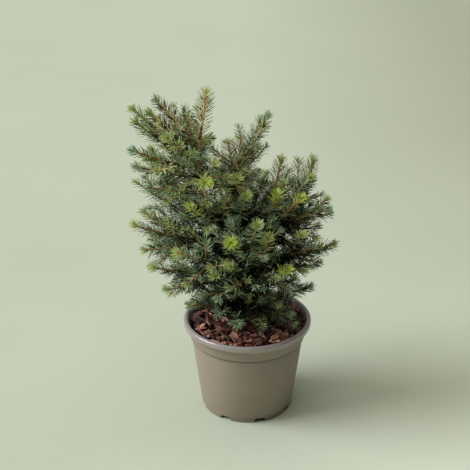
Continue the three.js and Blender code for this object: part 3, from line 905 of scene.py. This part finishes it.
print("masses:", len(MASSES))

# %% Room for a shoot
# The room that a side shoot and a twig need round them, and the lowest that they come, by order.
SHOOT_ROOM = {1: 13, 2: 9}
SHOOT_LOWEST = {1: 152, 2: 144}
SIDE_FREE_SHARE = 0.4
AXIS_STEPS = 6
LIMB_END = 0.98

shoots = []


class Shoot:
    """One leafy shoot: its line, its order from the limb outwards, and the mass that it belongs to."""

    def __init__(self, mass, order, line):
        self.mass, self.order, self.line = mass, order, line
        self.length = line.length()
        self.axis = line.points(AXIS_STEPS)


def gaps_to(points, starts, ends):
    """The distance from each point to each segment, and how far along the segment that is."""
    span = ends - starts
    reach = points[:, None] - starts
    share = np.clip((reach * span).sum(-1) / (span**2).sum(-1), 0, 1)
    return np.linalg.norm(reach - share[..., None] * span, axis=-1), share


def clear_of_limbs(points, margin):
    for axis, radius in limb_axes:
        gaps, share = gaps_to(points, axis[:-1], axis[1:])
        along = np.minimum(LIMB_END, (np.arange(LIMB_STEPS) + share) / LIMB_STEPS)
        if (gaps < radius(along) + margin).any():
            return False
    return True


def has_room(shoot):
    room = SHOOT_ROOM[shoot.order]
    free = shoot.axis[np.linspace(0, 1, AXIS_STEPS + 1) > SIDE_FREE_SHARE]
    if (free[:, 2] <= SHOOT_LOWEST[shoot.order]).any() or not clear_of_limbs(free, room / 2):
        return False
    starts = np.concatenate([other.axis[:-1] for other in shoots])
    ends = np.concatenate([other.axis[1:] for other in shoots])
    return gaps_to(free, starts, ends)[0].min() > room


print("room round side shoots and twigs:", SHOOT_ROOM)

# %% Leafy stems and side shoots
DRAW_FACTOR = 16807
DRAW_RANGE = 2147483647
SHOOT_BEND = 6
NEEDLES_PAST_TIP = 7
SIDE_SPAN = (0.1, 0.62)
SIDE_TURN = (36, 52)
SIDE_REACH = (0.68, 0.86)
SIDE_LIFT = 0.12
SIDE_TRIES = (1, 0.75)
STEEP = 0.95


def seeded(seed):
    """The source's own generator, so that both grow the same shoots."""
    state = seed

    def draw():
        nonlocal state
        state = state * DRAW_FACTOR % DRAW_RANGE
        return state / DRAW_RANGE

    return draw


def turned_off(line, share, roll, turn):
    """Where a shoot leaves a line, and the way that it sets off and ends."""
    tangent = line.tangent(share)
    level = FRONT if abs(tangent[2]) > STEEP else UP
    hinge = level - tangent * (level @ tangent)
    hinge = turn_matrix(tangent, roll) @ (hinge / np.linalg.norm(hinge))
    first = turn_matrix(hinge, turn) @ tangent
    last = first + UP * SIDE_LIFT
    return line.point(share), first, last / np.linalg.norm(last)


def grow_side(parent, order, share, roll, turn, reach):
    """Adds a shoot where it has room, at full length or shorter."""
    start, first, last = turned_off(parent.line, share, roll, turn)
    for part in SIDE_TRIES:
        line = Bow(start, start + first * reach * part / 2, start + last * reach * part)
        shoot = Shoot(parent.mass, order, line)
        if has_room(shoot):
            shoots.append(shoot)
            return


for name, on, at, azimuth, rise, length, *_ in MASSES:
    line = bent(limbs[on][0].point(at), azimuth, rise, length - NEEDLES_PAST_TIP, SHOOT_BEND)
    shoots.append(Shoot(name, 0, line))
for index, (*_, length, sides, roll) in enumerate(MASSES):
    draw = seeded(SEED * (index + 2))
    for k in range(sides):
        share = between(SIDE_SPAN, (k + draw()) / sides)
        turn = between(SIDE_TURN, draw())
        reach = length * (1 - share) * between(SIDE_REACH, draw())
        grow_side(shoots[index], 1, share, roll + GOLDEN_ANGLE * k, turn, reach)
print("stems and side shoots:", len(shoots))

# %% [markdown]
# Finer twigs.
# On the real plant each shoot carries short twigs of its own, which are too fine for the CAD solids.
# They turn off left and right in turn, as flat sprays, on the inner half of the shoot, and need less
# room than a side shoot does. Short twigs also stand all round the trunk and the boughs, a golden
# angle apart, and fill the crown from inside.

# %% Finer twigs
TWIG_STEP = (8, 12)
TWIG_SPAN = (0.04, 0.54)
TWIG_TURN = (38, 56)
TWIG_ROLL = (-34, 34)
TWIG_LONGEST = 70
TWIG_SHORTEST = 12
TWIG_REACH = (0.55, 0.82)
LIMB_TWIG_STEP = 3
LIMB_TWIG_SPAN = (0.12, 0.98)
TRUNK_TWIG_SPAN = (0.06, 0.62)
LIMB_TWIG_TURN = (48, 74)
LIMB_TWIG_REACH = (28, 60)

for index, parent in enumerate(list(shoots)):
    draw = seeded(SEED * (index + 2) + 1)
    count = int(parent.length * (TWIG_SPAN[1] - TWIG_SPAN[0]) / TWIG_STEP[parent.order])
    for k in range(count):
        share = between(TWIG_SPAN, (k + draw()) / count)
        turn = between(TWIG_TURN, draw())
        reach = min(TWIG_LONGEST, parent.length * (1 - share)) * between(TWIG_REACH, draw())
        if reach > TWIG_SHORTEST:
            grow_side(parent, 2, share, 180 * k + between(TWIG_ROLL, draw()), turn, reach)
for index, (name, (line, _)) in enumerate(limbs.items()):
    draw = seeded(SEED * (index + 2) + 2)
    limb = Shoot(name, 2, line)
    span = TRUNK_TWIG_SPAN if name == "trunk" else LIMB_TWIG_SPAN
    count = int(limb.length * (span[1] - span[0]) / LIMB_TWIG_STEP)
    for k in range(count):
        share = between(span, (k + draw()) / count)
        turn = between(LIMB_TWIG_TURN, draw())
        reach = between(LIMB_TWIG_REACH, draw())
        grow_side(limb, 2, share, GOLDEN_ANGLE * k, turn, reach)
print("shoots with finer twigs:", len(shoots), "in all", round(sum(s.length for s in shoots)), "mm")

# %% [markdown]
# Bark.
# The trunk and the boughs of a young spruce have thin grey-brown scales, and the top of the trunk is
# still tan. A stretched cone would do for a straight limb, but these bow. So each is a Bezier curve
# with a round bevel, thick at the foot and thin at the tip. Turned into a mesh, it gets its scales
# from a Displace modifier, so that the relief is real geometry.

# %% Bark finish
BARK_GLOSS = (0.88, 0.25)
BARK_MOTTLE = (170, paint(66, 47, 36), paint(122, 90, 66))
BARK_RELIEF = (330, 1500, 0.0006)
YOUNG_BARK = paint(232, 190, 140)
YOUNG_BARK_START = (0.3, 0.38)

bark_material, bark_shader = start_material("scaly_bark", *BARK_GLOSS)
bark_place = object_place(bark_shader)
bark_mottle = add_mottle(bark_place, *BARK_MOTTLE)
bark_young = add_range(axes(bark_place)["Z"], YOUNG_BARK_START)
set_inputs(bark_shader, {"Base Color": add_blend(bark_young, bark_mottle["Colour"], YOUNG_BARK)})
add_relief(bark_shader, bark_place, *BARK_RELIEF)
print("bark finish:", bark_material.name)

# %% Trunk and boughs
# The cuts along a limb's curve and the sides of its bevel.
TRUNK_DETAIL = (11, 28)
BOUGH_DETAIL = (4, 14)
LIMB_RESOLUTION = 8
LIMB_SMOOTH = 50
SCALE_SIZE = 5.5
SCALE_HEIGHT = 1.1
SCALE_LEVEL = 0.6

scales = bpy.data.textures.new("bark_scales", "VORONOI")


def model_limb(node, line, radius_at, cuts, sides):
    """A limb's mesh in place of a node: a curve through its line that is bevelled and roughened."""
    limb = add_object(bpy.ops.curve.primitive_bezier_curve_add, f"{node}_bark")
    first, last = limb.data.splines[0].bezier_points
    for knot in (first, last):
        knot.handle_left_type = knot.handle_right_type = "FREE"
    first.co, last.co = Vector(line.start * MM), Vector(line.end * MM)
    first.handle_right = Vector((line.start + 2 * line.middle) / 3 * MM)
    last.handle_left = Vector((line.end + 2 * line.middle) / 3 * MM)
    first.handle_left = 2 * first.co - first.handle_right
    last.handle_right = 2 * last.co - last.handle_left
    bpy.ops.object.mode_set(mode="EDIT")
    bpy.ops.curve.select_all(action="SELECT")
    bpy.ops.curve.subdivide(number_cuts=cuts)
    bpy.ops.object.mode_set(mode="OBJECT")
    knots = limb.data.splines[0].bezier_points
    for k, knot in enumerate(knots):
        knot.radius = float(radius_at(k / (len(knots) - 1)))
    limb.data.dimensions = "3D"
    limb.data.bevel_depth = MM
    limb.data.bevel_resolution = sides // 2 - 2
    limb.data.resolution_u = LIMB_RESOLUTION
    limb.data.use_fill_caps = True
    bpy.ops.object.convert(target="MESH")
    with edit_edges():
        weld()
    displace(limb, scales, SCALE_SIZE, SCALE_HEIGHT, mid_level=SCALE_LEVEL)
    bpy.ops.object.shade_smooth_by_angle(angle=math.radians(LIMB_SMOOTH))
    limb.data.materials.clear()
    limb.data.materials.append(bark_material)
    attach(limb, BODY)
    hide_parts(node)
    print(f"{limb.name}: {len(limb.data.polygons)} faces")


model_limb("trunk", *limbs["trunk"], *TRUNK_DETAIL)
for name, *_ in BOUGHS:
    model_limb(f"bough_{name}", *limbs[name], *BOUGH_DETAIL)

# %% [markdown]
# Twigs.
# The leafy stems are brown where they are old and tan towards their tips, and that colour shows
# between the needles. On the fresh brushes and the leader the main stem is orange. A curve for each
# of so many shoots would be slow. They are worked out in arrays, as closed slim tubes of six sides: a
# start of old wood on all but the finest, an end of young wood, and a bud. The tubes of each kind are
# joined.

# %% Tubes
TWIG_SIDES = 6


def sideways(tangents):
    """Two directions across each tangent: level with the ground, and the upper side."""
    level = np.where(np.abs(tangents[:, 2:]) > STEEP, FRONT, UP)
    across = np.cross(tangents, level)
    across /= np.linalg.norm(across, axis=1, keepdims=True)
    return across, np.cross(across, tangents)


def tube(line, shares, radii, tip):
    """A closed tube along part of a line, with a point at its far end."""
    centres, tangents = line.point(shares), line.tangent(shares)
    across, upper = sideways(tangents)
    angle = np.arange(TWIG_SIDES) * 2 * math.pi / TWIG_SIDES
    spokes = np.cos(angle)[:, None] * across[:, None] + np.sin(angle)[:, None] * upper[:, None]
    rings = centres[:, None] + spokes * radii[:, None, None]
    corners = np.concatenate([rings.reshape(-1, 3), [centres[0], centres[-1] + tangents[-1] * tip]])
    rows = []
    base, point = len(corners) - 2, len(corners) - 1
    top = (len(shares) - 1) * TWIG_SIDES
    neighbours = [(k, (k + 1) % TWIG_SIDES) for k in range(TWIG_SIDES)]
    for ring in range(0, top, TWIG_SIDES):
        for a, b in neighbours:
            c, d = b + TWIG_SIDES, a + TWIG_SIDES
            rows += [(ring + a, ring + b, ring + c), (ring + a, ring + c, ring + d)]
    for a, b in neighbours:
        rows += [(base, b, a), (point, top + a, top + b)]
    return corners, np.array(rows)


print("sides of a tube:", TWIG_SIDES)

# %% Twigs
# The radius of a shoot at its foot and at its tip, and its share of old wood, by order.
STEM_RADIUS = ((2.1, 1.35), (1.4, 0.9), (0.95, 0.65))
OLD_WOOD = (0.3, 0.2, 0.0)
OLD_STEPS = 2
OLD_POINT = 0.4
YOUNG_STEPS = 3
YOUNG_POINT = 0.6
YOUNG_OVERLAP = 0.03
YOUNG_SLIMNESS = 0.97
TUBE_STEP = 9
BUD_LENGTH = 3.4
BUD_SHARES = np.array([0, 0.4, 0.75])
BUD_SWELL = np.array([0.8, 1.35, 1.05])
FRESH_MASSES = {"front_left", "right_shoulder_front", "front_right_high", "front_right_low"}
ORANGE_STEMS = FRESH_MASSES | {"leader"}
# Each kind of wood: its finish, its roughness and its two tones.
WOODS = {
    "twigs_old": ("brown_twig", 0.8, paint(82, 58, 42), paint(146, 108, 78)),
    "twigs_young": ("tan_twig", 0.65, paint(170, 118, 76), paint(230, 186, 136)),
    "twigs_fresh": ("orange_twig", 0.6, paint(210, 142, 68), paint(248, 196, 120)),
    "buds": ("bud_scales", 0.6, paint(112, 66, 36), paint(158, 100, 56)),
}
WOOD_SPECULAR = 0.3
WOOD_SCALE = 420
WOOD_RELIEF = (500, 1900, 0.0003)

tubes = {name: [] for name in WOODS}
for shoot in shoots:
    stem, old = STEM_RADIUS[shoot.order], OLD_WOOD[shoot.order]
    steps = max(YOUNG_STEPS, round(shoot.length / TUBE_STEP))
    if old:
        shares = np.linspace(0, old, max(OLD_STEPS, round(steps * old)) + 1)
        tubes["twigs_old"].append(tube(shoot.line, shares, between(stem, shares), OLD_POINT))
    shares = np.linspace(max(0, old - YOUNG_OVERLAP), 1, steps + 1)
    kind = "twigs_fresh" if shoot.order == 0 and shoot.mass in ORANGE_STEMS else "twigs_young"
    tubes[kind].append(tube(shoot.line, shares, between(stem, shares) * YOUNG_SLIMNESS, YOUNG_POINT))
    tip, way = shoot.line.end, shoot.line.tangent(1)
    bud_line = Bow(tip, tip + way * BUD_LENGTH / 2, tip + way * BUD_LENGTH)
    bud_point = BUD_LENGTH * (1 - BUD_SHARES[-1])
    tubes["buds"].append(tube(bud_line, BUD_SHARES, BUD_SWELL * stem[1], bud_point))
for name, (finish, roughness, dark, light) in WOODS.items():
    wood = mottled_material(finish, (roughness, WOOD_SPECULAR), (WOOD_SCALE, dark, light), WOOD_RELIEF)
    corners, rows, _ = joined(tubes[name])
    twigs = mesh_piece(name, corners, [rows], [wood], smooth=True)
    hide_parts(*MASS_NODES)

# %% [markdown]
# Needles.
# A Serbian spruce needle is flat, a centimetre or more long, dark above and silvery blue below. Hair
# strands could stand for needles, but they aren't a mesh and have no flat sides. So each needle is a
# closed sliver of nine faces that bends a little towards the shoot's tip, with one finish above and
# another below.

# %% Needle shapes
NEEDLE_WAIST = 0.72
NEEDLE_SHOULDER = 0.72
NEEDLE_THICKNESS = 0.5
NEEDLE_BEND = 0.03
NEEDLE_CORNERS = 9
# The faces of a needle as corner numbers, and which of them are its lower side.
NEEDLE_SIDES = np.array([[0, 3, 2, 1], [0, 1, 5, 4], [1, 2, 6, 5], [2, 3, 7, 6], [3, 0, 4, 7]])
NEEDLE_ENDS = np.array([[4, 5, 8], [5, 6, 8], [6, 7, 8], [7, 4, 8]])
LOWER_SIDES = np.array([1, 0, 0, 1, 1])
LOWER_ENDS = np.array([0, 0, 1, 1])


def unit(vectors):
    return vectors / np.linalg.norm(vectors, axis=-1, keepdims=True)


def needle_corners(feet, ways, forward, lengths, widths, flips):
    """Nine corners for each needle: a narrow foot, a broad shoulder and a point."""
    across = unit(np.cross(forward, ways))
    upper = np.cross(ways, across)
    over = np.where((upper[:, 2] < 0) ^ flips, -1.0, 1.0)[:, None]
    across, upper = across * over, upper * over
    bend = unit(forward - ways * (forward * ways).sum(1, keepdims=True))
    bend *= (NEEDLE_BEND * lengths)[:, None]
    wide = across * (widths / 2)[:, None]
    high = upper * (widths / 2 * NEEDLE_THICKNESS)[:, None]
    shoulder = feet + ways * (lengths * NEEDLE_SHOULDER)[:, None] + bend * NEEDLE_SHOULDER**2
    tips = feet + ways * lengths[:, None] + bend
    low = [feet + d * NEEDLE_WAIST for d in (wide, high, -wide, -high)]
    top = [shoulder + d for d in (wide, high, -wide, -high)]
    return np.stack([*low, *top, tips], axis=1)


def needle_piece(name, corners, finishes):
    count = len(corners)
    starts = np.arange(count)[:, None, None] * NEEDLE_CORNERS
    faces = [(NEEDLE_SIDES + starts).reshape(-1, 4), (NEEDLE_ENDS + starts).reshape(-1, 3)]
    slots = np.concatenate([np.tile(LOWER_SIDES, count), np.tile(LOWER_ENDS, count)])
    piece = mesh_piece(name, corners.reshape(-1, 3), faces, finishes, slots=slots)
    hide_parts(*MASS_NODES)


print("needle:", NEEDLE_CORNERS, "corners,", len(NEEDLE_SIDES) + len(NEEDLE_ENDS), "faces")

# %% [markdown]
# Needle shades.
# The tint goes with the spray: blue or green outside, and lime where the tip is this year's growth.
# Light and shade are painted in too: paler olive at the sunlit top as painted light, a near-black
# painted shade deep in the crown, and a dark painted shade on a stem's lower side, on the finer twigs
# and on the crown's side away from the light, with fewer such needles on the skirt over the pot. One
# finish that changes over the crown would blend neighbours together. Dealing whole needles out to a
# few shades, by place and by chance, keeps the sprays apart.

# %% Hand out needles
SHADES = ["deep", "dark", "blue", "green", "olive", "lime", "heart"]
DEEP_PAINTED_SHADE, PAINTED_SHADE, BLUE, GREEN, OLIVE, LIME, HEART = range(len(SHADES))
# The height and radius that needles stay above or outside of, and those of the pot's open mouth.
POT_RIM = (144.6, 95.6)
POT_MOUTH = (139, 85)
SHOULDER_CORNER, TIP_CORNER = 4, 8

dealt = {shade: [] for shade in SHADES}


def clear_of_pot(points):
    radius, height = np.hypot(points[:, 0], points[:, 1]), points[:, 2]
    over_mulch = (height > POT_MOUTH[0]) & (radius < POT_MOUTH[1])
    return (height > POT_RIM[0]) | (radius > POT_RIM[1]) | over_mulch


def hand_out(shades, *needles):
    """Adds needles to the shade that each was given, where they don't run into the pot."""
    corners = needle_corners(*needles)
    free = clear_of_pot(corners[:, TIP_CORNER]) & clear_of_pot(corners[:, SHOULDER_CORNER])
    for number, shade in enumerate(SHADES):
        mine = free & (shades == number)
        if mine.any():
            dealt[shade].append(corners[mine])


print("shades:", SHADES)

# %% Shades along a stem
# A shoot's tip is plain, soft, a star or a fresh brush: the needles of its rosette, the cone that they
# fill, their length, how far down the stem the fresh growth goes, and the shades of its heart and edge.
TIPS = [
    (22, 50, 14, 0, None, None),
    (28, 62, 13, 9, LIME, OLIVE),
    (48, 84, 14, 10, HEART, LIME),
    (26, 54, 13, 28, HEART, HEART),
]
TIP_REACH = (7, 5, 3)
TIP_JITTER = 3
DARK_IN_TIP = 0.4
FRESH_REACH = (0.4, 1)
# The odds of dark painted shade, and how much a stem's upper side and the crown's lit side take off.
PAINTED_SHADE_ODDS = (0.67, 0.14, 0.54)
PAINTED_SHADE_BY_ORDER = (0.0, 0.12, 0.26)
PAINTED_SHADE_LIMITS = (0.4, 0.86)
# The crown's side towards the light, where fewer needles get painted shade, and how far that reaches.
SUNNY_SIDE = np.array([-0.5, -0.15, 0.85])
SUNNY_REACH = 130
# Shoots that end below the skirt's top get less painted shade, as painted light on the skirt.
SKIRT_TOP = 195
SKIRT_LIGHT = 0.7
# The middle and size of the crown's heart, whose needles get the deep painted shade.
CROWN_HEART = np.array([-5.0, 5.0, 245.0])
HEART_SIZE = np.array([82.0, 78.0, 92.0])
HEART_JITTER = 0.12


def crown_depth(points):
    """How far points lie from the crown's middle, as a share of the way out of its heart of deep painted
    shade.
    """
    return np.linalg.norm((points - CROWN_HEART) / HEART_SIZE, axis=-1)


def stem_shades(shoot, shares, rise, level, outer, tip, draw):
    """The shade of each needle along a shoot: its spray's own, dark or deep painted shade, or fresh at
    the tip.
    """
    count = len(shares)
    centres = shoot.line.point(shares)
    to_tip = (1 - shares) * shoot.length
    sunny = (centres - CROWN_HEART) @ SUNNY_SIDE / SUNNY_REACH
    odds, by_side, by_sun = PAINTED_SHADE_ODDS
    odds += PAINTED_SHADE_BY_ORDER[shoot.order]
    odds -= SKIRT_LIGHT * (shoot.line.end[2] < SKIRT_TOP)
    odds = np.clip(odds - by_side * rise - by_sun * sunny, *PAINTED_SHADE_LIMITS)
    # Dark painted shade by chance, side, order and place, then deep painted shade inside the crown's
    # heart.
    shades = np.where(draw.random(count) < odds, PAINTED_SHADE, outer)
    shades = np.where(crown_depth(centres) < draw.normal(1, HEART_JITTER, count), DEEP_PAINTED_SHADE, shades)
    shades = np.where(to_tip < draw.normal(TIP_REACH[shoot.order], TIP_JITTER, count), tip, shades)
    if level:
        *_, reach, _, edge = TIPS[level]
        young = to_tip < reach * between(FRESH_REACH, draw.random(count))
        young &= draw.random(count) > DARK_IN_TIP
        shades = np.where(young, edge, shades)
    return shades


print("dark heart of the crown:", CROWN_HEART, "reaching", HEART_SIZE)

# %% [markdown]
# Needles on the shoots.
# Needles stand round a shoot in eight ranks, each three eighths of a turn from the last, with fewer
# on its upper side, where the stem shows, and right below. At its end they crowd into a rosette. A
# particle system would scatter them at random. A rule sets them in their ranks, leans them towards
# the tip, and lets them stand closer inside the crown.

# %% Needles of a stem
# By order: how close the needles stand, where they start, and their length and width.
NEEDLES_PER_MM = (2.05, 1.65, 1.3)
NEEDLE_START = (0.12, 0.1, 0.1)
NEEDLE_LENGTH = (17.5, 15.5, 12.5)
NEEDLE_WIDTH = (1.6, 1.4, 1.3)
LENGTH_RANGE = (0.82, 1.1)
WIDTH_RANGE = (0.85, 1.15)
SHARE_JITTER = 0.3
FIRST_ROLL = 22.5
RANK_TURN = 135
ROLL_JITTER_RADIANS = 0.1
UPPER_SIDE, UPPER_SHARE = 0.45, 0.4
LOWER_SIDE, LOWER_SHARE = -0.8, 0.55
# The lean of a needle from its shoot, at the shoot's foot and at its tip.
NEEDLE_LEAN = (60, 38)
LEAN_POWER = 7
LEAN_JITTER = 4
NEEDLE_FLATNESS = 0.7
NEEDLE_LIFT = 0.08
NEEDLE_SEAT = 0.6
SHORTER_AT_TIP = 0.25
SHORTER_POWER = 8
SILVER_BELOW = 0.8


def clothe_stem(shoot, level, outer, tip, draw, crowding=1):
    order = shoot.order
    count = int(shoot.length * NEEDLES_PER_MM[order] * crowding)
    start = NEEDLE_START[order]
    shares = start + (1 - start) * (np.arange(count) + SHARE_JITTER * draw.random(count)) / count
    rolls = np.radians(FIRST_ROLL + RANK_TURN * np.arange(count))
    rolls += draw.normal(0, ROLL_JITTER_RADIANS, count)
    rise = np.sin(rolls)
    odds = np.where(rise > UPPER_SIDE, UPPER_SHARE, np.where(rise < LOWER_SIDE, LOWER_SHARE, 1))
    kept = draw.random(count) < odds
    shares, rolls, rise = shares[kept], rolls[kept], rise[kept]
    count = len(shares)
    tangents = shoot.line.tangent(shares)
    across, upper = sideways(tangents)
    out = unit(np.cos(rolls)[:, None] * across + NEEDLE_FLATNESS * rise[:, None] * upper)
    lean = between(NEEDLE_LEAN, shares**LEAN_POWER) + draw.normal(0, LEAN_JITTER, count)
    lean = np.radians(lean)[:, None]
    ways = unit(np.cos(lean) * tangents + np.sin(lean) * out + NEEDLE_LIFT * UP)
    seats = between(STEM_RADIUS[order], shares) * NEEDLE_SEAT
    feet = shoot.line.point(shares) + out * seats[:, None]
    lengths = NEEDLE_LENGTH[order] * between(LENGTH_RANGE, draw.random(count))
    lengths *= 1 - SHORTER_AT_TIP * shares**SHORTER_POWER
    widths = NEEDLE_WIDTH[order] * between(WIDTH_RANGE, draw.random(count))
    shades = stem_shades(shoot, shares, rise, level, outer, tip, draw)
    hand_out(shades, feet, ways, tangents, lengths, widths, draw.random(count) > SILVER_BELOW)


print("needles in a millimetre of shoot:", NEEDLES_PER_MM)

# %% Needles of a tip
TIP_HEART = 0.6
ROSETTE_THINS = 0.5
ROSETTE_JITTER = 5
ROSETTE_SKEW = 0.02
ROSETTE_DEPTH = 3
ROSETTE_LENGTH = (0.75, 1.1)
ROSETTE_SHORTENS = 0.12
ROSETTE_WIDTH = 0.66
ROSETTE_WIDTHS = (0.9, 1.2)


def crown_tip(shoot, level, tip, draw):
    """The rosette of needles that closes a shoot."""
    count, cone, length, _, heart, edge = TIPS[level]
    count = int(count / (1 + ROSETTE_THINS * shoot.order))
    number = np.arange(count)
    tangents = np.tile(shoot.line.tangent(1), (count, 1))
    across, upper = sideways(tangents)
    spread = np.sqrt((number + 0.5) / count)
    lean = np.radians(cone * spread + draw.normal(0, ROSETTE_JITTER, count))[:, None]
    rolls = np.radians(GOLDEN_ANGLE) * number
    out = np.cos(rolls)[:, None] * across + np.sin(rolls)[:, None] * upper
    ways = unit(np.cos(lean) * tangents + np.sin(lean) * out)
    forward = unit(tangents + ROSETTE_SKEW * across)
    feet = shoot.line.end - tangents * (draw.random(count) * ROSETTE_DEPTH)[:, None]
    lengths = length * between(ROSETTE_LENGTH, draw.random(count)) * (1 - ROSETTE_SHORTENS * shoot.order)
    widths = NEEDLE_WIDTH[shoot.order] * ROSETTE_WIDTH * between(ROSETTE_WIDTHS, draw.random(count))
    shades = np.full(count, tip)
    if level:
        shades = np.where(spread < TIP_HEART, heart, edge)
        shades = np.where(draw.random(count) < DARK_IN_TIP, GREEN, shades)
    hand_out(shades, feet, ways, forward, lengths, widths, draw.random(count) > SILVER_BELOW)


print("needles of a tip:", [count for count, *_ in TIPS])

# %% Deal the needles
SOFT_ODDS = 0.1
SOFT_MASSES = {
    "far_left", "upper_left_low", "upper_front_left", "right_shoulder", "crown_front", "front_top",
    "front_high", "front_right", "right_front", "front_mid", "front_low",
}
STAR_MASSES = {"upper_front", "front"}
TIP_MASSES = [set(), SOFT_MASSES, STAR_MASSES, FRESH_MASSES]
# The odds of blue, green and olive sprays by order, with those of twigs for all of the skirt.
OUTER_SHADES = [BLUE, GREEN, OLIVE]
OUTER_ODDS = ((0.58, 0.42, 0.0), (0.62, 0.38, 0.0), (0.7, 0.3, 0.0))
# Above SUNLIT_ABOVE the odds lean to olive: paler needles as painted light on the sunlit top.
SUNLIT_ODDS = ((0.05, 0.4, 0.55), (0.3, 0.5, 0.2), (0.5, 0.5, 0.0))
TIP_ODDS = (0.25, 0.5, 0.25)
SUNLIT_ABOVE = 385
LEAFY_TRUNK = 0.68
TRUNK_CROWDING = 2.2
INNER_CROWDING = 1.5

draw = np.random.default_rng(SEED)
top = trunk_line.point(LEAFY_TRUNK)
leafy_line = Bow(top, between((trunk_line.middle, trunk_line.end), LEAFY_TRUNK), trunk_line.end)
leafy_trunk = Shoot("leader", 0, leafy_line)
clothe_stem(leafy_trunk, 0, OLIVE, OLIVE, draw, TRUNK_CROWDING)
for shoot in shoots:
    level = int(shoot.order == 1 and draw.random() < SOFT_ODDS)
    if shoot.order == 0:
        level = next((k for k, masses in enumerate(TIP_MASSES) if shoot.mass in masses), 0)
    height = shoot.line.end[2]
    odds = SUNLIT_ODDS if height > SUNLIT_ABOVE else OUTER_ODDS
    outer = draw.choice(OUTER_SHADES, p=odds[2 if height < SKIRT_TOP else shoot.order])
    tip = draw.choice(OUTER_SHADES, p=TIP_ODDS)
    if shoot.order > 0 or height < SKIRT_TOP:
        tip = outer
    inside = crown_depth(shoot.line.point(0.5)) < 1
    clothe_stem(shoot, level, outer, tip, draw, INNER_CROWDING if inside else 1)
    crown_tip(shoot, level, tip, draw)
print("needles:", {shade: sum(map(len, lots)) for shade, lots in dealt.items()})

# %% [markdown]
# Needle finishes.
# A needle's wax gives a soft shine, less on the needles of dark and deep painted shade. Every shade has
# a plain colour above and a paler, bluer one below, set on the shader itself. Needles this small need
# no pattern: the variety comes from dealing shades out spray by spray. A shade with very many needles
# is split into several meshes.

# %% Needle finishes
MOST_NEEDLES = 13500
NEEDLE_GLOSS = (0.4, 0.5)
NEEDLE_COAT = 0.12
NEEDLE_COAT_ROUGHNESS = 0.3
DULL_SHADES = {"deep", "dark"}
DULL_WAX = 0.3
NEEDLE_COLOURS = {
    # deep and dark are painted shade: deep for needles in the crown's heart, dark for those on shaded
    # sides.
    "deep": (paint(22, 29, 16), paint(30, 39, 25)),
    "dark": (paint(33, 45, 25), paint(47, 62, 41)),
    "blue": (paint(146, 172, 131), paint(170, 194, 156)),
    "green": (paint(168, 188, 113), paint(183, 201, 141)),
    "olive": (paint(200, 207, 136), paint(208, 217, 158)),
    "lime": (paint(178, 200, 66), paint(190, 208, 90)),
    "heart": (paint(214, 232, 86), paint(220, 236, 106)),
}


def needle_finish(name, colour, wax):
    roughness, specular = NEEDLE_GLOSS
    material, shader = start_material(name, roughness, specular * wax)
    coat = {"Coat Weight": NEEDLE_COAT * wax, "Coat Roughness": NEEDLE_COAT_ROUGHNESS}
    set_inputs(shader, {"Base Color": colour, **coat})
    return material


for shade, (above, below) in NEEDLE_COLOURS.items():
    corners = np.concatenate(dealt[shade])
    wax = DULL_WAX if shade in DULL_SHADES else 1
    finishes = [
        needle_finish(f"needle_{shade}", above, wax),
        needle_finish(f"needle_{shade}_below", below, wax),
    ]
    lots = math.ceil(len(corners) / MOST_NEEDLES)
    for number, lot in enumerate(np.array_split(corners, lots)):
        needle_piece(f"needles_{shade}_{number + 1}", lot, finishes)
